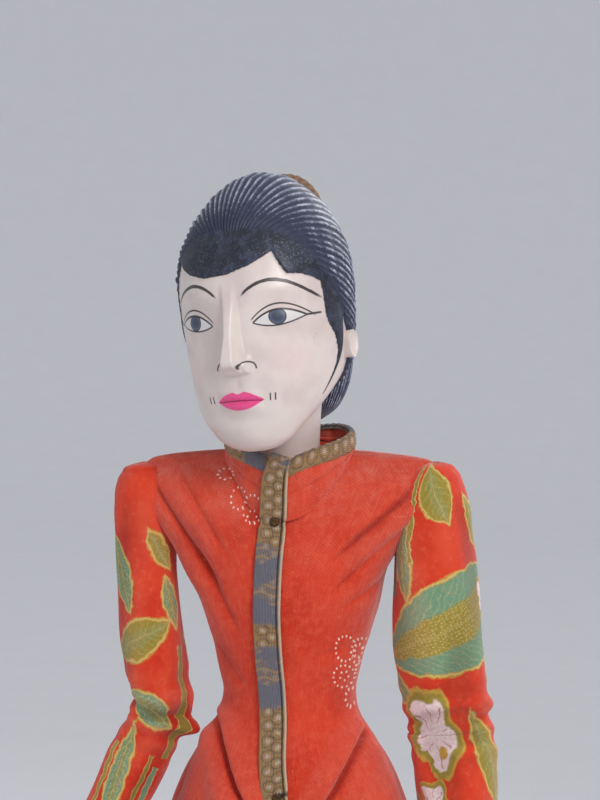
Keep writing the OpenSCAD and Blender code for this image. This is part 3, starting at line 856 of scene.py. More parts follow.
def make_placket(material):
    columns = 330
    z = np.linspace(HEM + 0.5, NECKLINE, columns)
    x = placket_line(z)
    lean = np.gradient(x, z)
    across = np.stack([np.ones(columns), 0 * z, -lean], -1)
    across /= np.linalg.norm(across, axis=1, keepdims=True)
    y = front_y(x, z)
    y = np.minimum(y, np.interp(z, [400, 421, 434, 446], [0, -22.6, -24.6, -25.0]))
    centre = np.stack([x, y - 1.3 - jacket_relief(x, y, z).clip(-0.5, 2.6) * step(NECKLINE - z, 0, 10)
                       + 0.25 * np.sin(z / 3.1), z], -1)
    lift = np.stack([0 * z, -np.ones(columns), 0 * z], -1)
    half = np.interp(z, [288, 300, 420, 436, 446], [5.2, 5.4, 5.5, 5.2, 3.9])
    nick = bell(z - 419, 1.6) + bell(z - 313.5, 1.6)
    half = half * (1 - 0.10 * nick)
    fray = 0.75 + 0.25 * np.sin(z * 2.1) * np.sin(z * 0.77)
    g = strip_grid(centre, across, lift, half, 21, 0.75, fray)
    g[..., 1] += 0.9 * nick[None] * bell(np.linspace(-1, 1, 21)[:, None] - 0.45, 0.35)
    cloth = (np.linspace(-5.5, 5.5, 21)[:, None], z - HEM, 0.0)
    return cloth_piece("placket_strip", g, cloth, 0.7, material, "batik_trim", "placket", flip=-1.0)


def trim_material():
    """Ribbed batik: tan stretches with ringed pale dots, and grey-blue ones with fine stripes."""
    m = Material("striped_batik", 0.9, 0.12, sheen=0.2)
    u, v, _ = m.split(m.attribute("cloth"))
    at = m.place()
    rib = (u * (2 * math.pi / 0.62)).sin() * 0.5 + 0.5
    thread = (v * (2 * math.pi / 0.55)).sin() * 0.5 + 0.5
    grain = m.noise(m.join(u * 2.0, v * 0.5), 1.3, 4, 0.7)
    wob = (m.noise(m.join(u, v), 0.16, 3) - 0.5) * 7
    band = v + wob
    blue = band.step(57, 60) * (1 - band.step(82, 84))
    blue = blue.max(band.step(90, 92) * (1 - band.step(120, 123)))
    blue = blue.max(band.step(156, 158) * (1 - band.step(166, 168)))
    patch = m.noise(m.join(u * 0.6, v), 0.09, 3).step(0.5, 0.56)
    blue = blue * (1 - patch * 0.35) + patch * v.step(150, 154) * 0.9
    tan = m.mix(grain, rgb(148, 112, 72), rgb(198, 160, 108))
    grey = m.mix(grain, rgb(92, 92, 106), rgb(140, 138, 150))
    colour = m.mix(blue, tan, grey)
    drift = (m.noise(at, 0.3, 3) - 0.5) * 2.6
    for first, across in ((0.0, -1.9), (0.5, 2.0)):
        lane = ((v + drift) / 5.4 + first).fract() - 0.5
        near = ((u + drift * 0.5 - across) * 0.85).hypot(lane * 5.4)
        near = near + (m.noise(at, 1.1, 3) - 0.5) * 1.1
        dot = (1 - near.step(0.7, 1.1)) * (1 - blue)
        halo = (near - 2.1).line(0.25, 0.25) * (1 - blue)
        colour = m.mix(halo * 0.6, colour, rgb(84, 78, 84))
        colour = m.mix(dot * 0.75, colour, rgb(212, 190, 176))
    stripe = ((v / 3.4 + (u * 0.6).sin() * 0.25).fract() - 0.5).line(0.16, 0.06) * blue * patch
    colour = m.mix(stripe * 0.8, colour, rgb(196, 160, 108))
    # Painted shade: darker in the grooves between the ribs.
    colour = m.mix((1 - rib) * 0.45, colour, rgb(60, 50, 44))
    pale = u.step(4.35, 4.8) * (1 - v.step(150, 156))
    colour = m.mix(pale * 0.75, colour, rgb(206, 184, 160))
    dark = (u - 3.75).line(0.35, 0.25) * (1 - v.step(150, 156))
    colour = m.mix(dark * 0.8, colour, rgb(44, 34, 32))
    nick = (v - 131).line(1.3, 0.9).max((v - 25.5).line(1.6, 0.9)) * u.step(-1.0, 1.0)
    nick = nick * m.noise(at, 0.5, 3).step(0.45, 0.6)
    colour = m.mix(nick * 0.85, colour, rgb(34, 24, 24))
    m.colour(colour)
    m.bump(rib * 0.7 + grain * 0.3 + thread * 0.15, 0.0004, 0.9)
    return m


# ---------------------------------------------------------------- sleeves
ARM = {"left": dict(s=1, lean=4.0, out=0.0, bend=8.0), "right": dict(s=-1, lean=-4.0, out=26.0, bend=12.0)}
SHOULDER = (60.0, 0.0, 430.0)
UPPER, GAP, DROP = 88.0, 14.0, 85.0


def arm_frames(side):
    """Frames of a hanging arm: at the shoulder, at the upper elbow pivot and at the lower one."""
    k = ARM[side]
    s = k["s"]
    turn = lambda degrees: Matrix.Rotation(math.radians(degrees), 4, "Y")
    shoulder = Matrix.Translation((s * SHOULDER[0], 0, SHOULDER[2])) @ turn(-s * k["lean"])
    elbow = Matrix.Translation(shoulder @ Vector((0, 0, -UPPER))) @ turn(-s * (k["lean"] + k["out"]))
    fore = elbow @ Matrix.Translation((0, 0, -GAP)) @ Matrix.Rotation(math.radians(-k["bend"]), 4, "X")
    return [np.array(f) for f in (shoulder, elbow, fore)]


def along_arm(side, p):
    """Straight-arm points, z down from the shoulder pivot, set along the hanging arm."""
    down = -p[..., 2]
    w1, w2 = step(down, UPPER - 13, UPPER + 7), step(down, UPPER + 7, UPPER + 27)
    a, b, c = [placed(f, p + [0, 0, up]) for f, up in zip(arm_frames(side), (0, UPPER, UPPER + GAP))]
    w1, w2 = w1[..., None], w2[..., None]
    return (a * (1 - w1) + b * w1) * (1 - w2) + c * w2


SLEEVE = {  # distance below the shoulder pivot, half width, half depth
    "left": [(-12.0, 2, 2), (-11.0, 5.6, 6.6), (-8, 9.4, 10.8), (-3, 12.0, 13.6), (6, 14.2, 15.4),
             (20, 16.2, 16.4), (40, 17.4, 17), (60, 18, 17.2), (80, 16.8, 16.4), (95, 16.0, 15.2),
             (110, 15.8, 15.2), (130, 14.6, 14.2), (150, 13, 12.6), (163, 12.2, 11.8)],
    "right": [(-10.6, 0.4, 0.4), (-9.6, 5.4, 7), (-7, 8.6, 10.2), (-2, 11.2, 12.4), (6, 12.2, 13.8),
              (20, 12.4, 14.0), (40, 12.9, 14.2), (60, 13.6, 14.4), (80, 12.8, 14.0), (95, 11.0, 12.6),
              (110, 12.0, 12.6), (130, 11.4, 12), (150, 10.8, 11.4), (163, 10.4, 11)],
}
ELBOW_SEAM = UPPER + 7
CUFF = SLEEVE["left"][-1][0]
SLEEVE_ROUND = 15.5     # mean radius, for the print's scale round the sleeve


def sleeve_relief(side, a, down):
    """Folds of a sleeve: long soft ones, and pinched ones round the elbow."""
    s = ARM[side]["s"]
    long = 0.75 * np.sin(2 * a + 0.035 * down + s) * step(down, 0, 20)
    long = long + 0.5 * np.sin(5 * a - 0.06 * down * s)
    slant = 0.8 * smooth_noise(1.6 * np.sin(a), 1.6 * np.cos(a), down / 13 + s * 4, 11 + s)
    pinch = bell(down - UPPER - 3, 13)
    inner = 0.5 + 0.5 * np.cos(a + s * math.pi / 2)
    rings = np.sin(down * 0.62 + 1.1 * np.sin(a * 2 + s)) * 1.2 + np.sin(down * 0.33 - a) * 0.8
    fold = -(3.4 if side == "right" else 2.2) * np.exp(-np.abs(down - UPPER - 4 + 3 * np.sin(a)) / 1.5)
    return (long + slant) * step(down, -4, 12) + pinch * (rings * 0.8 + fold * (0.5 + 0.6 * inner))


def sleeve_shift(side, down):
    """How far the cloth hangs to one side of its arm, in mm along X."""
    if side == "left":
        return np.interp(down, [-14, 0, 20, 60, 90, 120, 163], [-1.0, -2.6, -3.8, -4.2, -2.6, -1.0, 0])
    return np.interp(down, [-14, 0, 20, 60, 90, 163], [0.6, 0.2, -0.8, -0.6, 0.4, 0])


def make_sleeves(materials):
    made = {}
    for side, s in SIDES:
        columns = 150
        a = np.arange(columns + 1) * 2 * np.pi / columns - math.pi / 2 * s
        for part, low, high, rows, ends in (
                ("upper", SLEEVE[side][0][0], ELBOW_SEAM, 132, ("_upper", "_elbow")),
                ("lower", ELBOW_SEAM, CUFF, 84, ("_elbow", "_fore"))):
            name, node = side + "_sleeve_" + part, side + "_" + part + "_sleeve"
            bodies = [side + end for end in ends]
            down, ang = np.meshgrid(np.linspace(high, low, rows), a, indexing="ij")
            w = curve_through(SLEEVE[side], down)
            relief = sleeve_relief(side, ang, down)
            grow = relief * np.clip(w[..., 0] / 12, 0, 1)
            point = 7.5 * bell(down - UPPER - 4, 5) * np.cos(ang + s * math.pi / 2).clip(0, 1) ** 8
            point = point * (side == "right")
            x = (w[..., 0] + grow + point) * np.sin(ang) + sleeve_shift(side, down)
            y = -(w[..., 1] + grow) * np.cos(ang)
            g = along_arm(side, np.stack([x, y, -down], -1))
            unrolled = (ang - (0 if s > 0 else 2 * math.pi)) * SLEEVE_ROUND
            cloth = (unrolled, down, relief)
            o = cloth_piece(name, g, cloth, 0.7, materials[side], "sleeve_cloth", node, None)
            first, last = (UPPER - 13, ELBOW_SEAM) if high == ELBOW_SEAM else (ELBOW_SEAM, ELBOW_SEAM + 20)
            start, end = along_arm(side, np.array([[0, 0, -first], [0, 0, -last]], float)) * MM
            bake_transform(o)
            made[name] = o
    return made


def leaf(m, u, v, at, size, turn):
    """Coordinates in a pointed leaf in mm: how far inside its edge, and along and across it."""
    c, d = math.cos(math.radians(turn)), math.sin(math.radians(turn))
    du, dv = u - at[0], v - at[1]
    along = du * c + dv * d
    across = dv * c - du * d
    share = along / (size[0] / 2)
    return (1 - share * share) * (size[1] / 2) - across.abs(), along, across


KINDS = {"olive": 0.0, "band": 0.5, "teal": 1.0}


def batik_material(name, leaves, flowers, stripes):
    """Red ground printed with leaves and flowers: at, size and turn are in the sleeve's unrolled mm."""
    m = Material(name, 0.88, 0.12, sheen=0.2)
    u0, v0, relief = m.split(m.attribute("cloth"))
    at = m.place()
    bleed = m.noise(at, 0.25, 3) - 0.5
    u, v = u0 + bleed * 4.4, v0 + (m.noise(at, 0.17, 3) - 0.5) * 4.4
    fine = m.noise(at, 0.9, 4, 0.7)
    cloth = weave(m, u0, v0, 0.62)
    broad = m.noise(at, 0.05, 3)
    teal = m.mix(fine, rgb(84, 124, 98), rgb(134, 166, 132))
    olive = m.mix(fine, rgb(130, 116, 42), rgb(168, 150, 66))
    cream = m.mix(fine, rgb(196, 178, 110), rgb(220, 204, 144))
    gold = m.mix(fine, rgb(180, 132, 46), rgb(206, 168, 82))
    colour = m.mix(broad.step(0.3, 0.7), rgb(198, 46, 24), rgb(216, 66, 38))
    kept = None
    for place, size, turn, kind in leaves:
        inside, along, across = leaf(m, u, v, place, size, turn)
        kept = foremost(m, kept, inside, m.join(along, across, KINDS[kind]))
    inside = kept[0]
    along, across, kind = m.split(kept[1])
    body = inside.step(-0.25, 0.25)
    wide = across.abs()
    bands = 1 - (wide / (wide + inside.max(0.0) + 0.05)).step(0.36, 0.46)
    printed, plain_teal = kind.step(0.3, 0.4), kind.step(0.7, 0.8)
    of_olive = 1 - bands * 0.25
    share = of_olive + (bands * (1 - plain_teal * 0.45) - of_olive) * printed
    colour = m.mix(body, colour, m.mix(share, teal, olive))
    rib = across.line(0.30) * inside.step(0.4, 1.4)
    side = ((along - wide * 0.9) / 3.2).fract() - 0.5
    veins = side.line(0.06, 0.05) * inside.step(0.8, 2.0)
    dots = ((across / 1.5).fract() - 0.5).hypot((along / 1.5).fract() - 0.5)
    specks = (1 - dots.step(0.16, 0.3)) * (bands - plain_teal).abs() * inside.step(1.0, 2.0)
    specks = specks * (printed * 0.4 + 0.1)
    colour = m.mix((veins.max(rib) * (plain_teal * 0.15 + 0.3)).max(specks), colour, cream)
    colour = m.mix(inside.line(0.75, 0.4), colour, gold)
    colour = m.mix((inside - 0.1).line(0.28, 0.2) * 0.7, colour, cream)
    kept = None
    for place, size, petals in flowers:
        du, dv = (u - place[0]) / size[0], (v - place[1]) / size[1]
        kept = foremost(m, kept, -du.hypot(dv), m.join(du, dv, petals))
    far = -kept[0]
    du, dv, petals = m.split(kept[1])
    turn = du.turn_from(dv)
    rim = (turn * petals + 0.9).sin() * 0.13 + (turn * 2.0 + 0.7).sin() * 0.15 + 0.84 + bleed * 0.3
    inside = rim - far
    body = inside.step(-0.02, 0.02)
    colour = m.mix(body, colour, m.mix(fine.step(0.3, 0.7), rgb(222, 190, 190), rgb(238, 222, 220)))
    rays = ((turn * petals * 1.6).sin() - 0.93).step(0.0, 0.05) * far.step(0.2, 0.3) * inside.step(0.12, 0.2)
    colour = m.mix(rays * 0.6 * body, colour, rgb(150, 72, 50))
    heart = 1 - (du - 0.25).hypot(dv - 0.5).step(0.16, 0.2)
    colour = m.mix(heart * body, colour, gold)
    colour = m.mix((inside + 0.05).line(0.13, 0.05), colour, olive)
    colour = m.mix((inside + 0.16).line(0.05, 0.04), colour, gold)
    for low, high, start, end, kind in stripes:
        half, middle = (high - low) / 2, (high + low) / 2
        off = (u - middle).abs() - half
        lane = 1 - off.max((v - (start + end) / 2).abs() - (end - start) / 2).step(-0.3, 0.3)
        dye = {"teal": teal, "olive": olive, "cream": cream}[kind]
        colour = m.mix(lane, colour, m.mix(off.line(0.35), dye, cream))
    wear = m.noise(at, 0.4, 4, 0.7).step(0.5, 0.8)
    # Faded wear in patches, plus a painted highlight on the raised fold ridges.
    colour = m.mix(wear * 0.22 + relief.clip() * 0.12, colour, rgb(228, 150, 120))
    # Painted shade: darker in the fold grooves.
    colour = m.mix((-relief - 0.2).clip() * 0.3, colour, rgb(70, 20, 12))
    # Painted shade: darker in the hollows between the threads of the weave.
    colour = m.mix(cloth.step(0.25, 0.5) * -0.3 + 0.3, colour, rgb(110, 34, 20))
    m.colour(colour)
    m.bump(cloth * 0.7 + fine * 0.3, 0.0005, 1.0)
    return m


LEFT_PRINT = dict(
    leaves=[((13, 50), (82, 38), -22, "band"), ((3, 0), (26, 15), 66, "olive"),
            ((-12, 20), (44, 9), 82, "teal"), ((19, 108), (46, 12), 72, "olive"),
            ((-20, 76), (22, 10), 40, "teal"), ((48, 30), (46, 20), 30, "teal"),
            ((52, 84), (48, 20), -35, "olive"), ((50, 140), (40, 18), 20, "band"),
            ((2, 142), (40, 15), -30, "teal"), ((26, 14), (30, 10), 60, "olive"),
            ((-16, 132), (30, 12), 60, "olive"), ((30, 66), (20, 9), 20, "olive")],
    flowers=[((-5, 94), (11.5, 17), 5.0), ((30, 44), (7, 8), 5.0), ((42, 112), (9, 9), 6.0),
             ((-8, 124), (8, 9), 5.0)],
    stripes=[(-8.6, -6.4, -12, 26, "olive"), (-16.8, -14.6, -10, 34, "cream"),
             (-21.5, -17.2, -8, 40, "teal")],
)
RIGHT_PRINT = dict(
    leaves=[((-12, 33), (34, 13), 70, "teal"), ((10, 24), (20, 8), 60, "olive"),
            ((-4, 60), (36, 15), -22, "olive"), ((-3, 88), (34, 13), 18, "teal"),
            ((-44, 40), (46, 20), 30, "teal"), ((-52, 96), (46, 18), -30, "band"),
            ((-30, 72), (26, 12), 50, "olive"), ((-4, 122), (52, 10), 84, "teal"),
            ((-40, 140), (40, 14), 30, "olive"), ((14, 46), (22, 8), 80, "teal")],
    flowers=[((-30, 16), (7, 8), 5.0), ((-62, 66), (9, 10), 6.0)],
    stripes=[(16, 21, 64, 108, "olive"), (8, 11, 108, 163, "olive"), (-14, -11, 108, 163, "olive"),
             (13, 17, 112, 163, "teal")],
)


# ---------------------------------------------------------------- inner pieces
def loft(form, low, high, rows, columns, relief=None):
    """A ringed surface from a table of height, half width, half depth."""
    z, a = np.meshgrid(np.linspace(low, high, rows), turns(columns), indexing="ij")
    w = curve_through(form, z)
    grow = 0 if relief is None else relief(z, a)
    return np.stack([(w[..., 0] + grow) * np.sin(a), -(w[..., 1] + grow) * np.cos(a), z], -1), a


def make_torso(material):
    """The carved trunk that the jacket hangs on, sloping in front of the neck."""
    form = [(305, 22, 18), (328, 24, 19), (336, 20, 15), (343, 20, 15), (350, 23, 18), (366, 26, 20),
            (386, 31, 22.5), (402, 35, 22.5), (414, 40, 18.5), (424, 44, 14), (431, 45, 11.8),
            (436, 40, 9.8), (438.5, 26, 8.8), (439, 14, 8)]
    chips = lambda z, a: 0.3 * np.sin(9 * a + z / 9) * np.sin(z / 7 + 2 * a) * step(z, 306, 312)
    g, _ = loft(form, 305, 439, 120, 120, chips)
    points = g.reshape(-1, 3)
    mesh("torso_carved", points, grid_faces(120, 120, True, cap_low=True, cap_high=True), material, "torso",
         "bare_wood", ["torso"])


SKIRT = [  # height, half width, half depth
    (75, 56.5, 48.5), (150, 51, 44), (230, 45.4, 38.4), (286, 41.4, 34.4), (310, 35.4, 28.9),
    (328, 26.2, 21.2), (336, 22.6, 17.6), (342, 21.9, 16.9),
]
SKIRT_HEM, WAIST = 76, 342


def skirt_relief(z, a):
    """Hanging folds that deepen towards the hem, and the pleats of the front overlap."""
    fall = 1 - step(z, 90, 320)
    folds = 2.0 * np.sin(6 * a + 0.7 * np.sin(2 * a) + z / 160) + 0.9 * np.sin(13 * a + z / 90)
    pleats = np.zeros_like(z)
    for k in range(5):
        off = (a - 2 * math.pi * (a > math.pi)) - (0.10 + 0.115 * k)
        pleats += 1.2 * np.exp(-np.abs(off) / 0.022) * (off < 0) - 0.5 * bell(off - 0.01, 0.012)
    edge = (a - 2 * math.pi * (a > math.pi)) + 0.06
    lap = 1.1 * (step(edge, 0, 0.012) * (1 - step(edge, 0.5, 0.9)))
    soft = 0.5 * smooth_noise(np.sin(a) * 2, np.cos(a) * 2, z / 30, 21)
    hanging = pleats * (0.45 + 0.55 * fall) * step(345 - z, 0, 20) + soft * step(345 - z, 0, 15)
    return folds * fall * 0.8 + hanging + lap - 0.9


def make_skirt(material):
    rows, columns = 170, 420
    g, a = loft(SKIRT, SKIRT_HEM, WAIST, rows, columns, skirt_relief)
    g[..., 2] += (1 - step(g[..., 2], SKIRT_HEM, 120)) * 1.2 * np.sin(3 * a)
    turn = np.where(a > math.pi, a - 2 * math.pi, a)
    cloth = (turn * 50, g[..., 2] - SKIRT_HEM, skirt_relief(g[..., 2], a))
    return cloth_piece("skirt_cloth", g, cloth, 0.8, material, "skirt_cloth", "skirt", round_it=True)


def skirt_material():
    """Brown batik of lozenges with dots, and a striped border at the hem."""
    m = Material("brown_batik", 0.85, 0.15, sheen=0.2)
    u, v, relief = m.split(m.attribute("cloth"))
    at = m.place()
    fine = m.noise(at, 0.8, 4, 0.7)
    wob = (m.noise(at, 0.2, 3) - 0.5) * 1.6
    p, q = (u + v * 0.72 + wob) / 15.0, (u - v * 0.72 + wob) / 15.0
    pc, qc = p.fract() - 0.5, q.fract() - 0.5
    ring = pc.abs().max(qc.abs())
    ground = m.mix(fine, rgb(86, 46, 24), rgb(122, 70, 38))
    cream = m.mix(fine, rgb(196, 168, 118), rgb(222, 200, 154))
    indigo = m.mix(fine, rgb(26, 34, 56), rgb(48, 58, 84))
    colour = m.mix((ring - 0.47).line(0.05, 0.02), ground, cream)
    colour = m.mix((ring - 0.36).line(0.03, 0.015), colour, indigo)
    petal = pc.hypot(qc)
    upright, lying = pc.abs() + qc.abs() * 0.35, qc.abs() + pc.abs() * 0.35
    lens = (1 - upright.step(0.20, 0.23)).max(1 - lying.step(0.20, 0.23))
    colour = m.mix(lens * (1 - petal.step(0.32, 0.34)), colour, cream)
    colour = m.mix((petal - 0.10).line(0.035, 0.02), colour, indigo)
    border = 1 - v.step(17.5, 18)
    bands = ((v + wob * 0.4) / 4.6).fract()
    colour = m.mix(border, colour, m.mix(bands.step(0.45, 0.5), indigo, cream))
    wedge = ((u / 9.0).fract() - 0.5).abs() * 2 + (v - 20) / 12
    colour = m.mix((1 - wedge.step(0.95, 1.0)) * v.step(18, 18.4) * (1 - v.step(31, 31.4)), colour, cream)
    cloth = weave(m, u, v, 0.6)
    crackle = (m.noise(at, 0.35, 5, 0.6, 1.0) - 0.5).line(0.006, 0.004)
    colour = m.mix(crackle * 0.5, colour, rgb(60, 34, 22))
    # Painted shade: darker in the fold hollows; the same mix also darkens all of the cloth a little.
    colour = m.mix((-relief).clip() * 0.25 + 0.05, colour, rgb(30, 18, 12))
    # Painted shade: darker in the hollows between the threads of the weave.
    colour = m.mix(cloth.step(0.25, 0.5) * -0.25 + 0.25, colour, rgb(48, 28, 18))
    m.colour(colour)
    m.bump(cloth * 0.7 + fine * 0.3, 0.0004, 0.8)
    return m


def make_tie(material):
    """A woven tape round the waist, with a flat knot in front."""
    rows, columns = 16, 240
    z, a = np.meshgrid(np.linspace(336.2, 341.8, rows), turns(columns), indexing="ij")
    grow = 0.5 * np.sin((z - 336.2) / 5.6 * np.pi) + 0.15 * np.sin(40 * a)
    g = np.stack([(23.4 + grow) * np.sin(a), -(18.4 + grow) * np.cos(a), z + 0.5 * np.sin(2 * a)], -1)
    knot = smooth_path([(-4, -19.4, 339), (-1.5, -21.2, 340.5), (1.5, -21.2, 337.5), (4, -19.6, 339),
                        (1, -20.6, 341), (-1.5, -20.8, 337)], True, 0.4)
    points, faces = joined([thicken(g, 0.7, True), tube(knot, 0.9, 10, True)])
    mesh("waist_tape", points, faces, material, "torso", "tie_cord", ["waist_tie"])


# ---------------------------------------------------------------- cords
def smooth_path(corners, closed, spacing, cuts=3):
    """Corners cut into a smooth curve, with its points spread evenly."""
    p = np.asarray(corners, float)
    for _ in range(cuts):
        q = np.roll(p, -1, 0) if closed else p[1:]
        base = p if closed else p[:-1]
        cut = np.stack([base * 0.75 + q * 0.25, base * 0.25 + q * 0.75], 1).reshape(-1, 3)
        p = cut if closed else np.concatenate([p[:1], cut, p[-1:]])
    if closed:
        p = np.concatenate([p, p[:1]])
    far = np.concatenate([[0], np.cumsum(np.linalg.norm(np.diff(p, axis=0), axis=1))])
    n = max(8, int(round(far[-1] / spacing)))
    at = np.linspace(0, far[-1], n + 1)[:-1] if closed else np.linspace(0, far[-1], n)
    return np.stack([np.interp(at, far, p[:, k]) for k in range(3)], -1)


def frames_along(p, closed):
    """Two directions across a path at each point, turning as little as they can."""
    t = np.roll(p, -1, 0) - np.roll(p, 1, 0) if closed else np.gradient(p, axis=0)
    t /= np.linalg.norm(t, axis=1, keepdims=True)
    across = np.cross(t[0], [0.31, 0.52, 0.79])
    rows = []
    for d in list(t) + ([t[0]] if closed else []):
        across = across - d * (across @ d)
        across = across / np.linalg.norm(across)
        rows.append(across)
    rows = np.array(rows)
    if closed:
        left = math.atan2(np.cross(rows[0], rows[-1]) @ t[0], rows[0] @ rows[-1])
        turn = -left * np.arange(len(p))[:, None] / len(p)
        rows = rows[:-1]
        rows = rows * np.cos(turn) + np.cross(t, rows) * np.sin(turn)
    return rows, np.cross(t, rows)


def tube(path, r, sides=10, closed=False):
    """Points and faces of a round tube; r is one radius or one for each point."""
    p = np.asarray(path, float)
    across, up = frames_along(p, closed)
    a = turns(sides)
    r = np.broadcast_to(r, len(p))[:, None, None]
    ring = np.cos(a)[None, :, None] * across[:, None] + np.sin(a)[None, :, None] * up[:, None]
    g = p[:, None] + r * ring
    if closed:
        g = np.concatenate([g, g[:1]])
    faces = grid_faces(len(g), sides, True, cap_low=not closed, cap_high=not closed)
    if closed:
        n = len(p) * sides
        faces = [tuple(i % n for i in f) for f in faces]
        g = g[:-1]
    return g.reshape(-1, 3), faces


def laid_cord(path, r, closed, pitch, strands=3, sides=8):
    """A cord of strands twisted round each other along a path."""
    p = np.asarray(path, float)
    across, up = frames_along(p, closed)
    length = np.linalg.norm(np.diff(p, axis=0), axis=1).sum()
    twists = max(1, round(length / pitch))
    parts = []
    for k in range(strands):
        turn = (2 * np.pi * (twists * np.arange(len(p)) / len(p) + k / strands))[:, None]
        parts.append(tube(p + 0.5 * r * (np.cos(turn) * across + np.sin(turn) * up), 0.52 * r, sides, closed))
    return joined(parts)


def joined(parts):
    """Several (points, faces) pairs as one."""
    points, faces, n = [], [], 0
    for p, f in parts:
        points.append(p)
        faces += [tuple(i + n for i in q) for q in f]
        n += len(p)
    return np.concatenate(points), faces


def placed(matrix, points):
    return np.asarray(points, float) @ matrix[:3, :3].T + matrix[:3, 3]


def link_path(upper, upper_leg, lower, lower_leg, drop):
    """A loop that crosses an upper hole along Y and a lower one along X."""
    return [(0, -upper, 0), (0, upper, 0), (0, upper, -upper_leg), (lower, 0, lower_leg - drop),
            (lower, 0, -drop), (-lower, 0, -drop), (-lower, 0, lower_leg - drop), (0, -upper, -upper_leg)]


def make_cords(material):
    for side, s in SIDES:
        z = SHOULDER[2]
        loop = smooth_path([(s * 53.2, -6.2, z), (s * 60, -6.2, z), (s * 60, 6.2, z), (s * 53.2, 6.2, z)],
                           True, 0.3, 2)
        shank = smooth_path([(s * 53.6, 0, z), (s * 48, 0, z), (s * 38, 0, z)], False, 0.3)
        knot = smooth_path([(s * 40, -1.6, z - 1), (s * 41.3, 0, z + 1.3), (s * 40, 1.6, z - 1),
                            (s * 38.7, 0, z + 1.2)], True, 0.3)
        points, faces = joined([laid_cord(loop, 1.1, True, 5), laid_cord(shank, 0.9, False, 5),
                                tube(knot, 1.3, 10, True)])
        mesh(side + "_shoulder_string", points, faces, material, side + "_shoulder", "string",
             [side + "_shoulder_cord"])
        elbow, fore = arm_frames(side)[1:]
        link = smooth_path(link_path(6.2, 5, 6.2, 5, 14), True, 0.3, 2)
        points, faces = laid_cord(link, 1.1, True, 5)
        mesh(side + "_elbow_string", placed(elbow, points), faces, material, side + "_elbow", "string",
             [side + "_elbow_cord"])
        hole = placed(fore, np.array([[0, 0, -DROP]]))[0]
        thread = smooth_path(link_path(4.6, 4.2, 2.8, 2.6, 9.6), True, 0.2, 2)
        points, faces = laid_cord(thread, 0.6, True, 2.4, 2)
        mesh(side + "_hand_thread", points + hole, faces, material, side + "_thread", "string",
             [side + "_rod_thread"])


def make_stop(material):
    """Cord wound round the rod in layers, which carries the torso."""
    path = []
    for k, r in enumerate((5.3, 7.0, 8.7, 10.1)):
        t = np.linspace(0, 1, 190)
        turn = 2 * np.pi * (4.25 * t + 0.25 * k)
        z = 298 + 6.1 * (t if k % 2 == 0 else 1 - t)
        path += [(r * np.sin(b), -r * np.cos(b), h) for b, h in zip(turn, z)]
    points, faces = laid_cord(smooth_path(path, False, 0.5, 1), 0.95, False, 4.5, 3, 6)
    mesh("rod_stop_winding", points, faces, material, "stop", "stop_cord", ["rod_stop"])


def cord_material(name, pale, dark):
    m = Material(name, 0.9, 0.15, sheen=0.2)
    at = m.place()
    fibre = m.noise(m.scaled(at, (1, 1, 0.5)), 2.2, 4, 0.75)
    soil = m.noise(at, 0.12, 3)
    m.colour(m.mix(soil.step(0.4, 0.75) * 0.5, m.mix(fibre, rgb(*dark), rgb(*pale)), rgb(*dark)))
    m.bump(fibre, 0.0003, 0.9)
    return m


# ---------------------------------------------------------------- hands and rods
def one_skin(parts, voxel, rounds):
    """Overlapping closed forms as one smooth skin; everything is in millimetres."""
    data = bpy.data.meshes.new("skin")
    points, faces = joined(parts)
    data.from_pydata([tuple(q) for q in points], [], faces)
    o = bpy.data.objects.new("skin", data)
    bpy.context.scene.collection.objects.link(o)
    remesh = o.modifiers.new("skin", "REMESH")
    remesh.mode, remesh.voxel_size = "VOXEL", voxel
    smooth = o.modifiers.new("smooth", "SMOOTH")
    smooth.iterations, smooth.factor = rounds, 0.5
    done = o.evaluated_get(bpy.context.evaluated_depsgraph_get()).to_mesh()
    points = np.array([v.co[:] for v in done.vertices])
    faces = [tuple(q.vertices) for q in done.polygons]
    bpy.data.objects.remove(o)
    bpy.data.meshes.remove(data)
    return points, faces


def finger(points, low, high):
    path = smooth_path(points, False, 0.7)
    t = np.linspace(0, 1, len(path))
    r = (low + (high - low) * t) * np.sqrt(np.clip(1 - ((t - 0.86) / 0.15).clip(0) ** 2, 0.02, 1))
    return tube(path, r, 16)


WRIST = -63
PALM = [  # height from the elbow, half thickness, half width
    (-78, 1.9, 4.6), (-75, 3.0, 6.4), (-70, 3.7, 7.2), (-64, 4.3, 6.2), (-58, 4.9, 4.9),
]
FINGERS = ((-5.0, -3.3, -87.3), (-1.7, -1.2, -88.3), (1.7, 1.2, -88.0), (4.9, 3.2, -86.6))


def make_forearms(material):
    for side, s in SIDES:
        fore = arm_frames(side)[2]
        z = np.linspace(1, WRIST, 40)
        rod = tube(np.outer(z, [0, 0, 1]), np.interp(z, [WRIST, -30, -12, 1], [4.9, 6.2, 5.2, 4.4]), 24)
        end = tube([(x, 0, 0) for x in np.linspace(-4.0, 4.0, 8)], 4.3, 24)
        palm, _ = loft(PALM, PALM[0][0], PALM[-1][0], 24, 32)
        palm = (palm.reshape(-1, 3), grid_faces(24, 32, True, cap_low=True, cap_high=True))
        parts = [rod, end, palm]
        for y, tip_y, tip_z in FINGERS:
            parts.append(finger([(0, y, -71), (s * 0.9, y * 1.02, -77), (s * 1.1, (y + tip_y) / 2, -82),
                                 (-s * 0.4, tip_y, tip_z)], 1.95, 1.45))
        parts.append(finger([(-s * 1.5, -4.5, -66), (-s * 3.4, -7.4, -71), (-s * 3.6, -7.6, -76),
                             (-s * 2.6, -6.2, -79.5)], 2.1, 1.5))
        points, faces = one_skin(parts, 0.42, 3)
        mesh(side + "_forearm_carved", placed(fore, points), faces, material, side + "_fore", "hand_paint",
             [side + "_forearm"], arm=points)


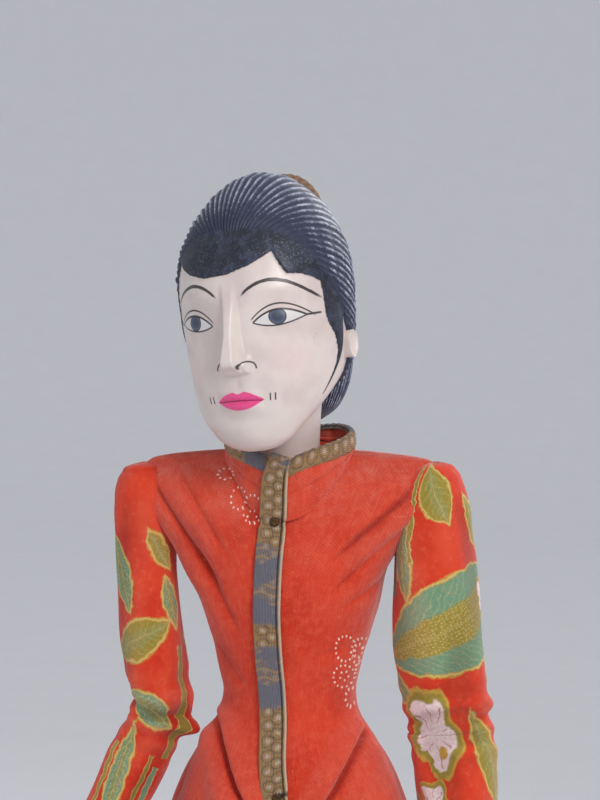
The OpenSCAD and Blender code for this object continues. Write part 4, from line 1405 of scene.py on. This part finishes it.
def hand_material():
    m = Material("painted_hand", 0.45, 0.4, coat=0.2)
    at = m.attribute("arm")
    z = m.split(at)[2]
    fine = m.noise(at, 0.9, 4, 0.6)
    paint = m.mix(m.noise(at, 0.12, 3).step(0.35, 0.65), rgb(206, 190, 186), rgb(222, 208, 202))
    worn = m.noise(at, 0.5, 5, 0.7).step(0.64, 0.68)
    wood = m.mix(m.noise(m.scaled(at, (1, 1, 0.1)), 1.0, 4), rgb(176, 138, 92), rgb(206, 172, 122))
    bare = z.step(-56.5, -55.5)
    colour = m.mix(worn * 0.6, paint, rgb(150, 124, 104))
    m.colour(m.mix(bare, colour, wood))
    m.bump(fine, 0.0003, 0.6)
    return m


def wood_material(name, pale, dark, along, gloss=0.5):
    """Straight-grained wood; along is how much the grain is drawn out, per axis."""
    m = Material(name, gloss, 0.35)
    at = m.place()
    grain = m.noise(m.scaled(at, along), 0.9, 5, 0.65)
    streak = m.noise(m.scaled(at, along), 0.28, 3, 0.5)
    pores = m.noise(m.scaled(at, tuple(a * 2.5 for a in along)), 1.6, 3, 0.7).step(0.62, 0.7)
    tone = m.mix(streak.step(0.35, 0.7), rgb(*pale), rgb(*dark))
    tone = m.mix((grain - 0.4).clip() * 0.9, tone, rgb(*dark))
    worn = m.noise(at, 0.03, 3).step(0.45, 0.7)
    tone = m.mix(worn * 0.25, tone, rgb(*(c * 0.6 for c in dark)))
    m.colour(m.mix(pores * 0.5, tone, rgb(*(c * 0.45 for c in dark))))
    m.rough(grain * 0.2 + gloss - 0.1)
    m.bump(grain * 0.6 + pores * 0.4, 0.0003, 0.6)
    return m


def dress_nodes(material, *names):
    """Give CAD nodes that stay as they are a finished material."""
    for name in names:
        for slot in bpy.data.objects[name].material_slots:
            slot.material = material.material


def make_studs(material):
    for name, z in (("upper_stud", 419.5), ("lower_stud", 313.5)):
        x = float(placket_line(np.array(z))) + 0.8
        y = float(front_y(np.array(x), np.array(z)))
        rows, n = 16, 36
        t, a = np.meshgrid(np.linspace(0, 1, rows), turns(n), indexing="ij")
        r = 1.9 * np.sin(t * np.pi / 2) ** 0.8 * (1 + 0.05 * np.cos(8 * a) * t)
        out = np.cos(t * np.pi / 2) ** 0.5 - 0.35 * bell(t, 0.25)
        p = np.stack([x + r * np.sin(a), y - 2.2 - out, z + r * np.cos(a)], -1).reshape(-1, 3)
        mesh(name, p, grid_faces(rows, n, True, cap_high=True), material, "torso", "stud_metal",
             ["placket_studs"] if z > 400 else [])


def stud_material():
    m = Material("tarnished_brass", 0.42, 0.5)
    at = m.place()
    tarnish = m.noise(at, 1.2, 5, 0.7)
    m.shader.inputs["Metallic"].default_value = 0.8
    m.colour(m.mix(tarnish.step(0.4, 0.7), rgb(96, 70, 44), rgb(34, 26, 22)))
    m.rough(tarnish * 0.4 + 0.25)
    m.bump(tarnish, 0.0002, 0.6)
    return m


# ---------------------------------------------------------------- stage
def make_stage():
    """A wide pale floor that curves up far from the figure on every side."""
    low, around = CAD_BOX[0][2], 96
    profile = [(1.5, 0.0), (4.0, 0.0)] + [(4.0 + 2.5 * math.sin(t), 2.5 - 2.5 * math.cos(t))
                                          for t in np.linspace(0.1, math.pi / 2, 14)] + [(6.5, 5.0)]
    points = [(0, 0, low)]
    for r, rise in profile:
        points += [(r * math.sin(a), r * math.cos(a), low + rise) for a in turns(around)]
    faces = [(0, 1 + (j + 1) % around, 1 + j) for j in range(around)]
    faces += grid_faces(len(profile), around, True, first=1)
    data = bpy.data.meshes.new("floor")
    data.from_pydata(points, [], faces)
    data.polygons.foreach_set("use_smooth", [True] * len(data.polygons))
    m = Material("pale_floor", 0.8, 0.2)
    grain = m.noise(m.place(), 0.02, 3)
    m.colour(m.mix(grain, rgb(228, 228, 230), rgb(233, 233, 235)))
    data.materials.append(m.material)
    floor = bpy.data.objects.new("floor", data)
    bpy.context.scene.collection.objects.link(floor)


def area_light(name, at, towards, size, power, colour=(1, 1, 1)):
    data = bpy.data.lights.new(name, "AREA")
    data.size, data.energy, data.color = size, power, colour
    o = bpy.data.objects.new(name, data)
    o.location = at
    o.rotation_euler = (Vector(towards) - Vector(at)).to_track_quat("-Z", "Y").to_euler()
    bpy.context.scene.collection.objects.link(o)


def make_camera():
    azimuth, elevation, away, seen = math.radians(9), math.radians(3), 0.95, 0.32
    target = Vector((0.004 * math.cos(azimuth), 0.004 * math.sin(azimuth), 0.466))
    back = Vector((math.sin(azimuth) * math.cos(elevation), -math.cos(azimuth) * math.cos(elevation),
                   math.sin(elevation)))
    data = bpy.data.cameras.new("camera")
    data.lens = 36 * away / seen
    data.clip_start, data.clip_end = 0.01, 20
    o = bpy.data.objects.new("camera", data)
    o.location = target + back * away
    o.rotation_euler = (-back).to_track_quat("-Z", "Y").to_euler()
    bpy.context.scene.collection.objects.link(o)
    bpy.context.scene.camera = o


make_camera()
make_stage()
world = bpy.data.worlds.new("studio")
world.use_nodes = True
world.node_tree.nodes["Background"].inputs[0].default_value = (0.82, 0.84, 0.88, 1)
world.node_tree.nodes["Background"].inputs[1].default_value = 0.85
bpy.context.scene.world = world
bpy.context.scene.view_settings.view_transform = "Standard"
area_light("key", (0.75, -0.95, 1.05), (0, 0, 0.44), 0.45, 9.5, (1, 0.98, 0.95))
area_light("fill", (-0.9, -0.8, 0.6), (0, 0, 0.4), 0.9, 1.6, (0.92, 0.95, 1))
area_light("rim", (0.5, 0.8, 0.9), (0, 0, 0.45), 0.5, 5)

face_paint = head_material()
hair_paint = hair_material()
make_head(face_paint)
make_ears(face_paint)
make_neck(face_paint)
make_hair_cap(hair_paint)
make_bun(hair_paint)
make_comb(comb_material())
red_cloth = jacket_material()
trim_cloth = trim_material()
jacket = make_jacket(red_cloth)
jacket_trims = [make_collar(red_cloth), make_trim(trim_cloth), make_placket(trim_cloth)]
sleeves = make_sleeves({"left": batik_material("leaf_batik_left", **LEFT_PRINT),
                        "right": batik_material("leaf_batik_right", **RIGHT_PRINT)})
for name, flat, area in (("left_sleeve_upper", (0.108, 0.107), 0.0110),
                         ("left_sleeve_lower", (0.098, 0.068), 0.0062),
                         ("right_sleeve_upper", (0.090, 0.106), 0.0090),
                         ("right_sleeve_lower", (0.080, 0.068), 0.0050)):
    name.split("_")[0] + "_upper_arm"
make_studs(stud_material())
bare_wood = wood_material("bare_wood", (206, 170, 122), (160, 118, 74), (1.0, 1.0, 0.08))
make_torso(bare_wood)
skirt = make_skirt(skirt_material())
make_tie(cord_material("cotton_tape", (222, 210, 182), (168, 148, 112)))
make_cords(cord_material("cotton_string", (226, 218, 196), (170, 152, 118)))
make_stop(cord_material("stop_cord", (206, 176, 124), (138, 104, 62)))
make_forearms(hand_material())
dress_nodes(bare_wood, "left_upper_arm", "right_upper_arm", "bun_peg")
dress_nodes(wood_material("rod_wood", (182, 136, 84), (120, 78, 42), (1.0, 1.0, 0.05), 0.4),
            "central_rod", "left_hand_rod", "right_hand_rod")
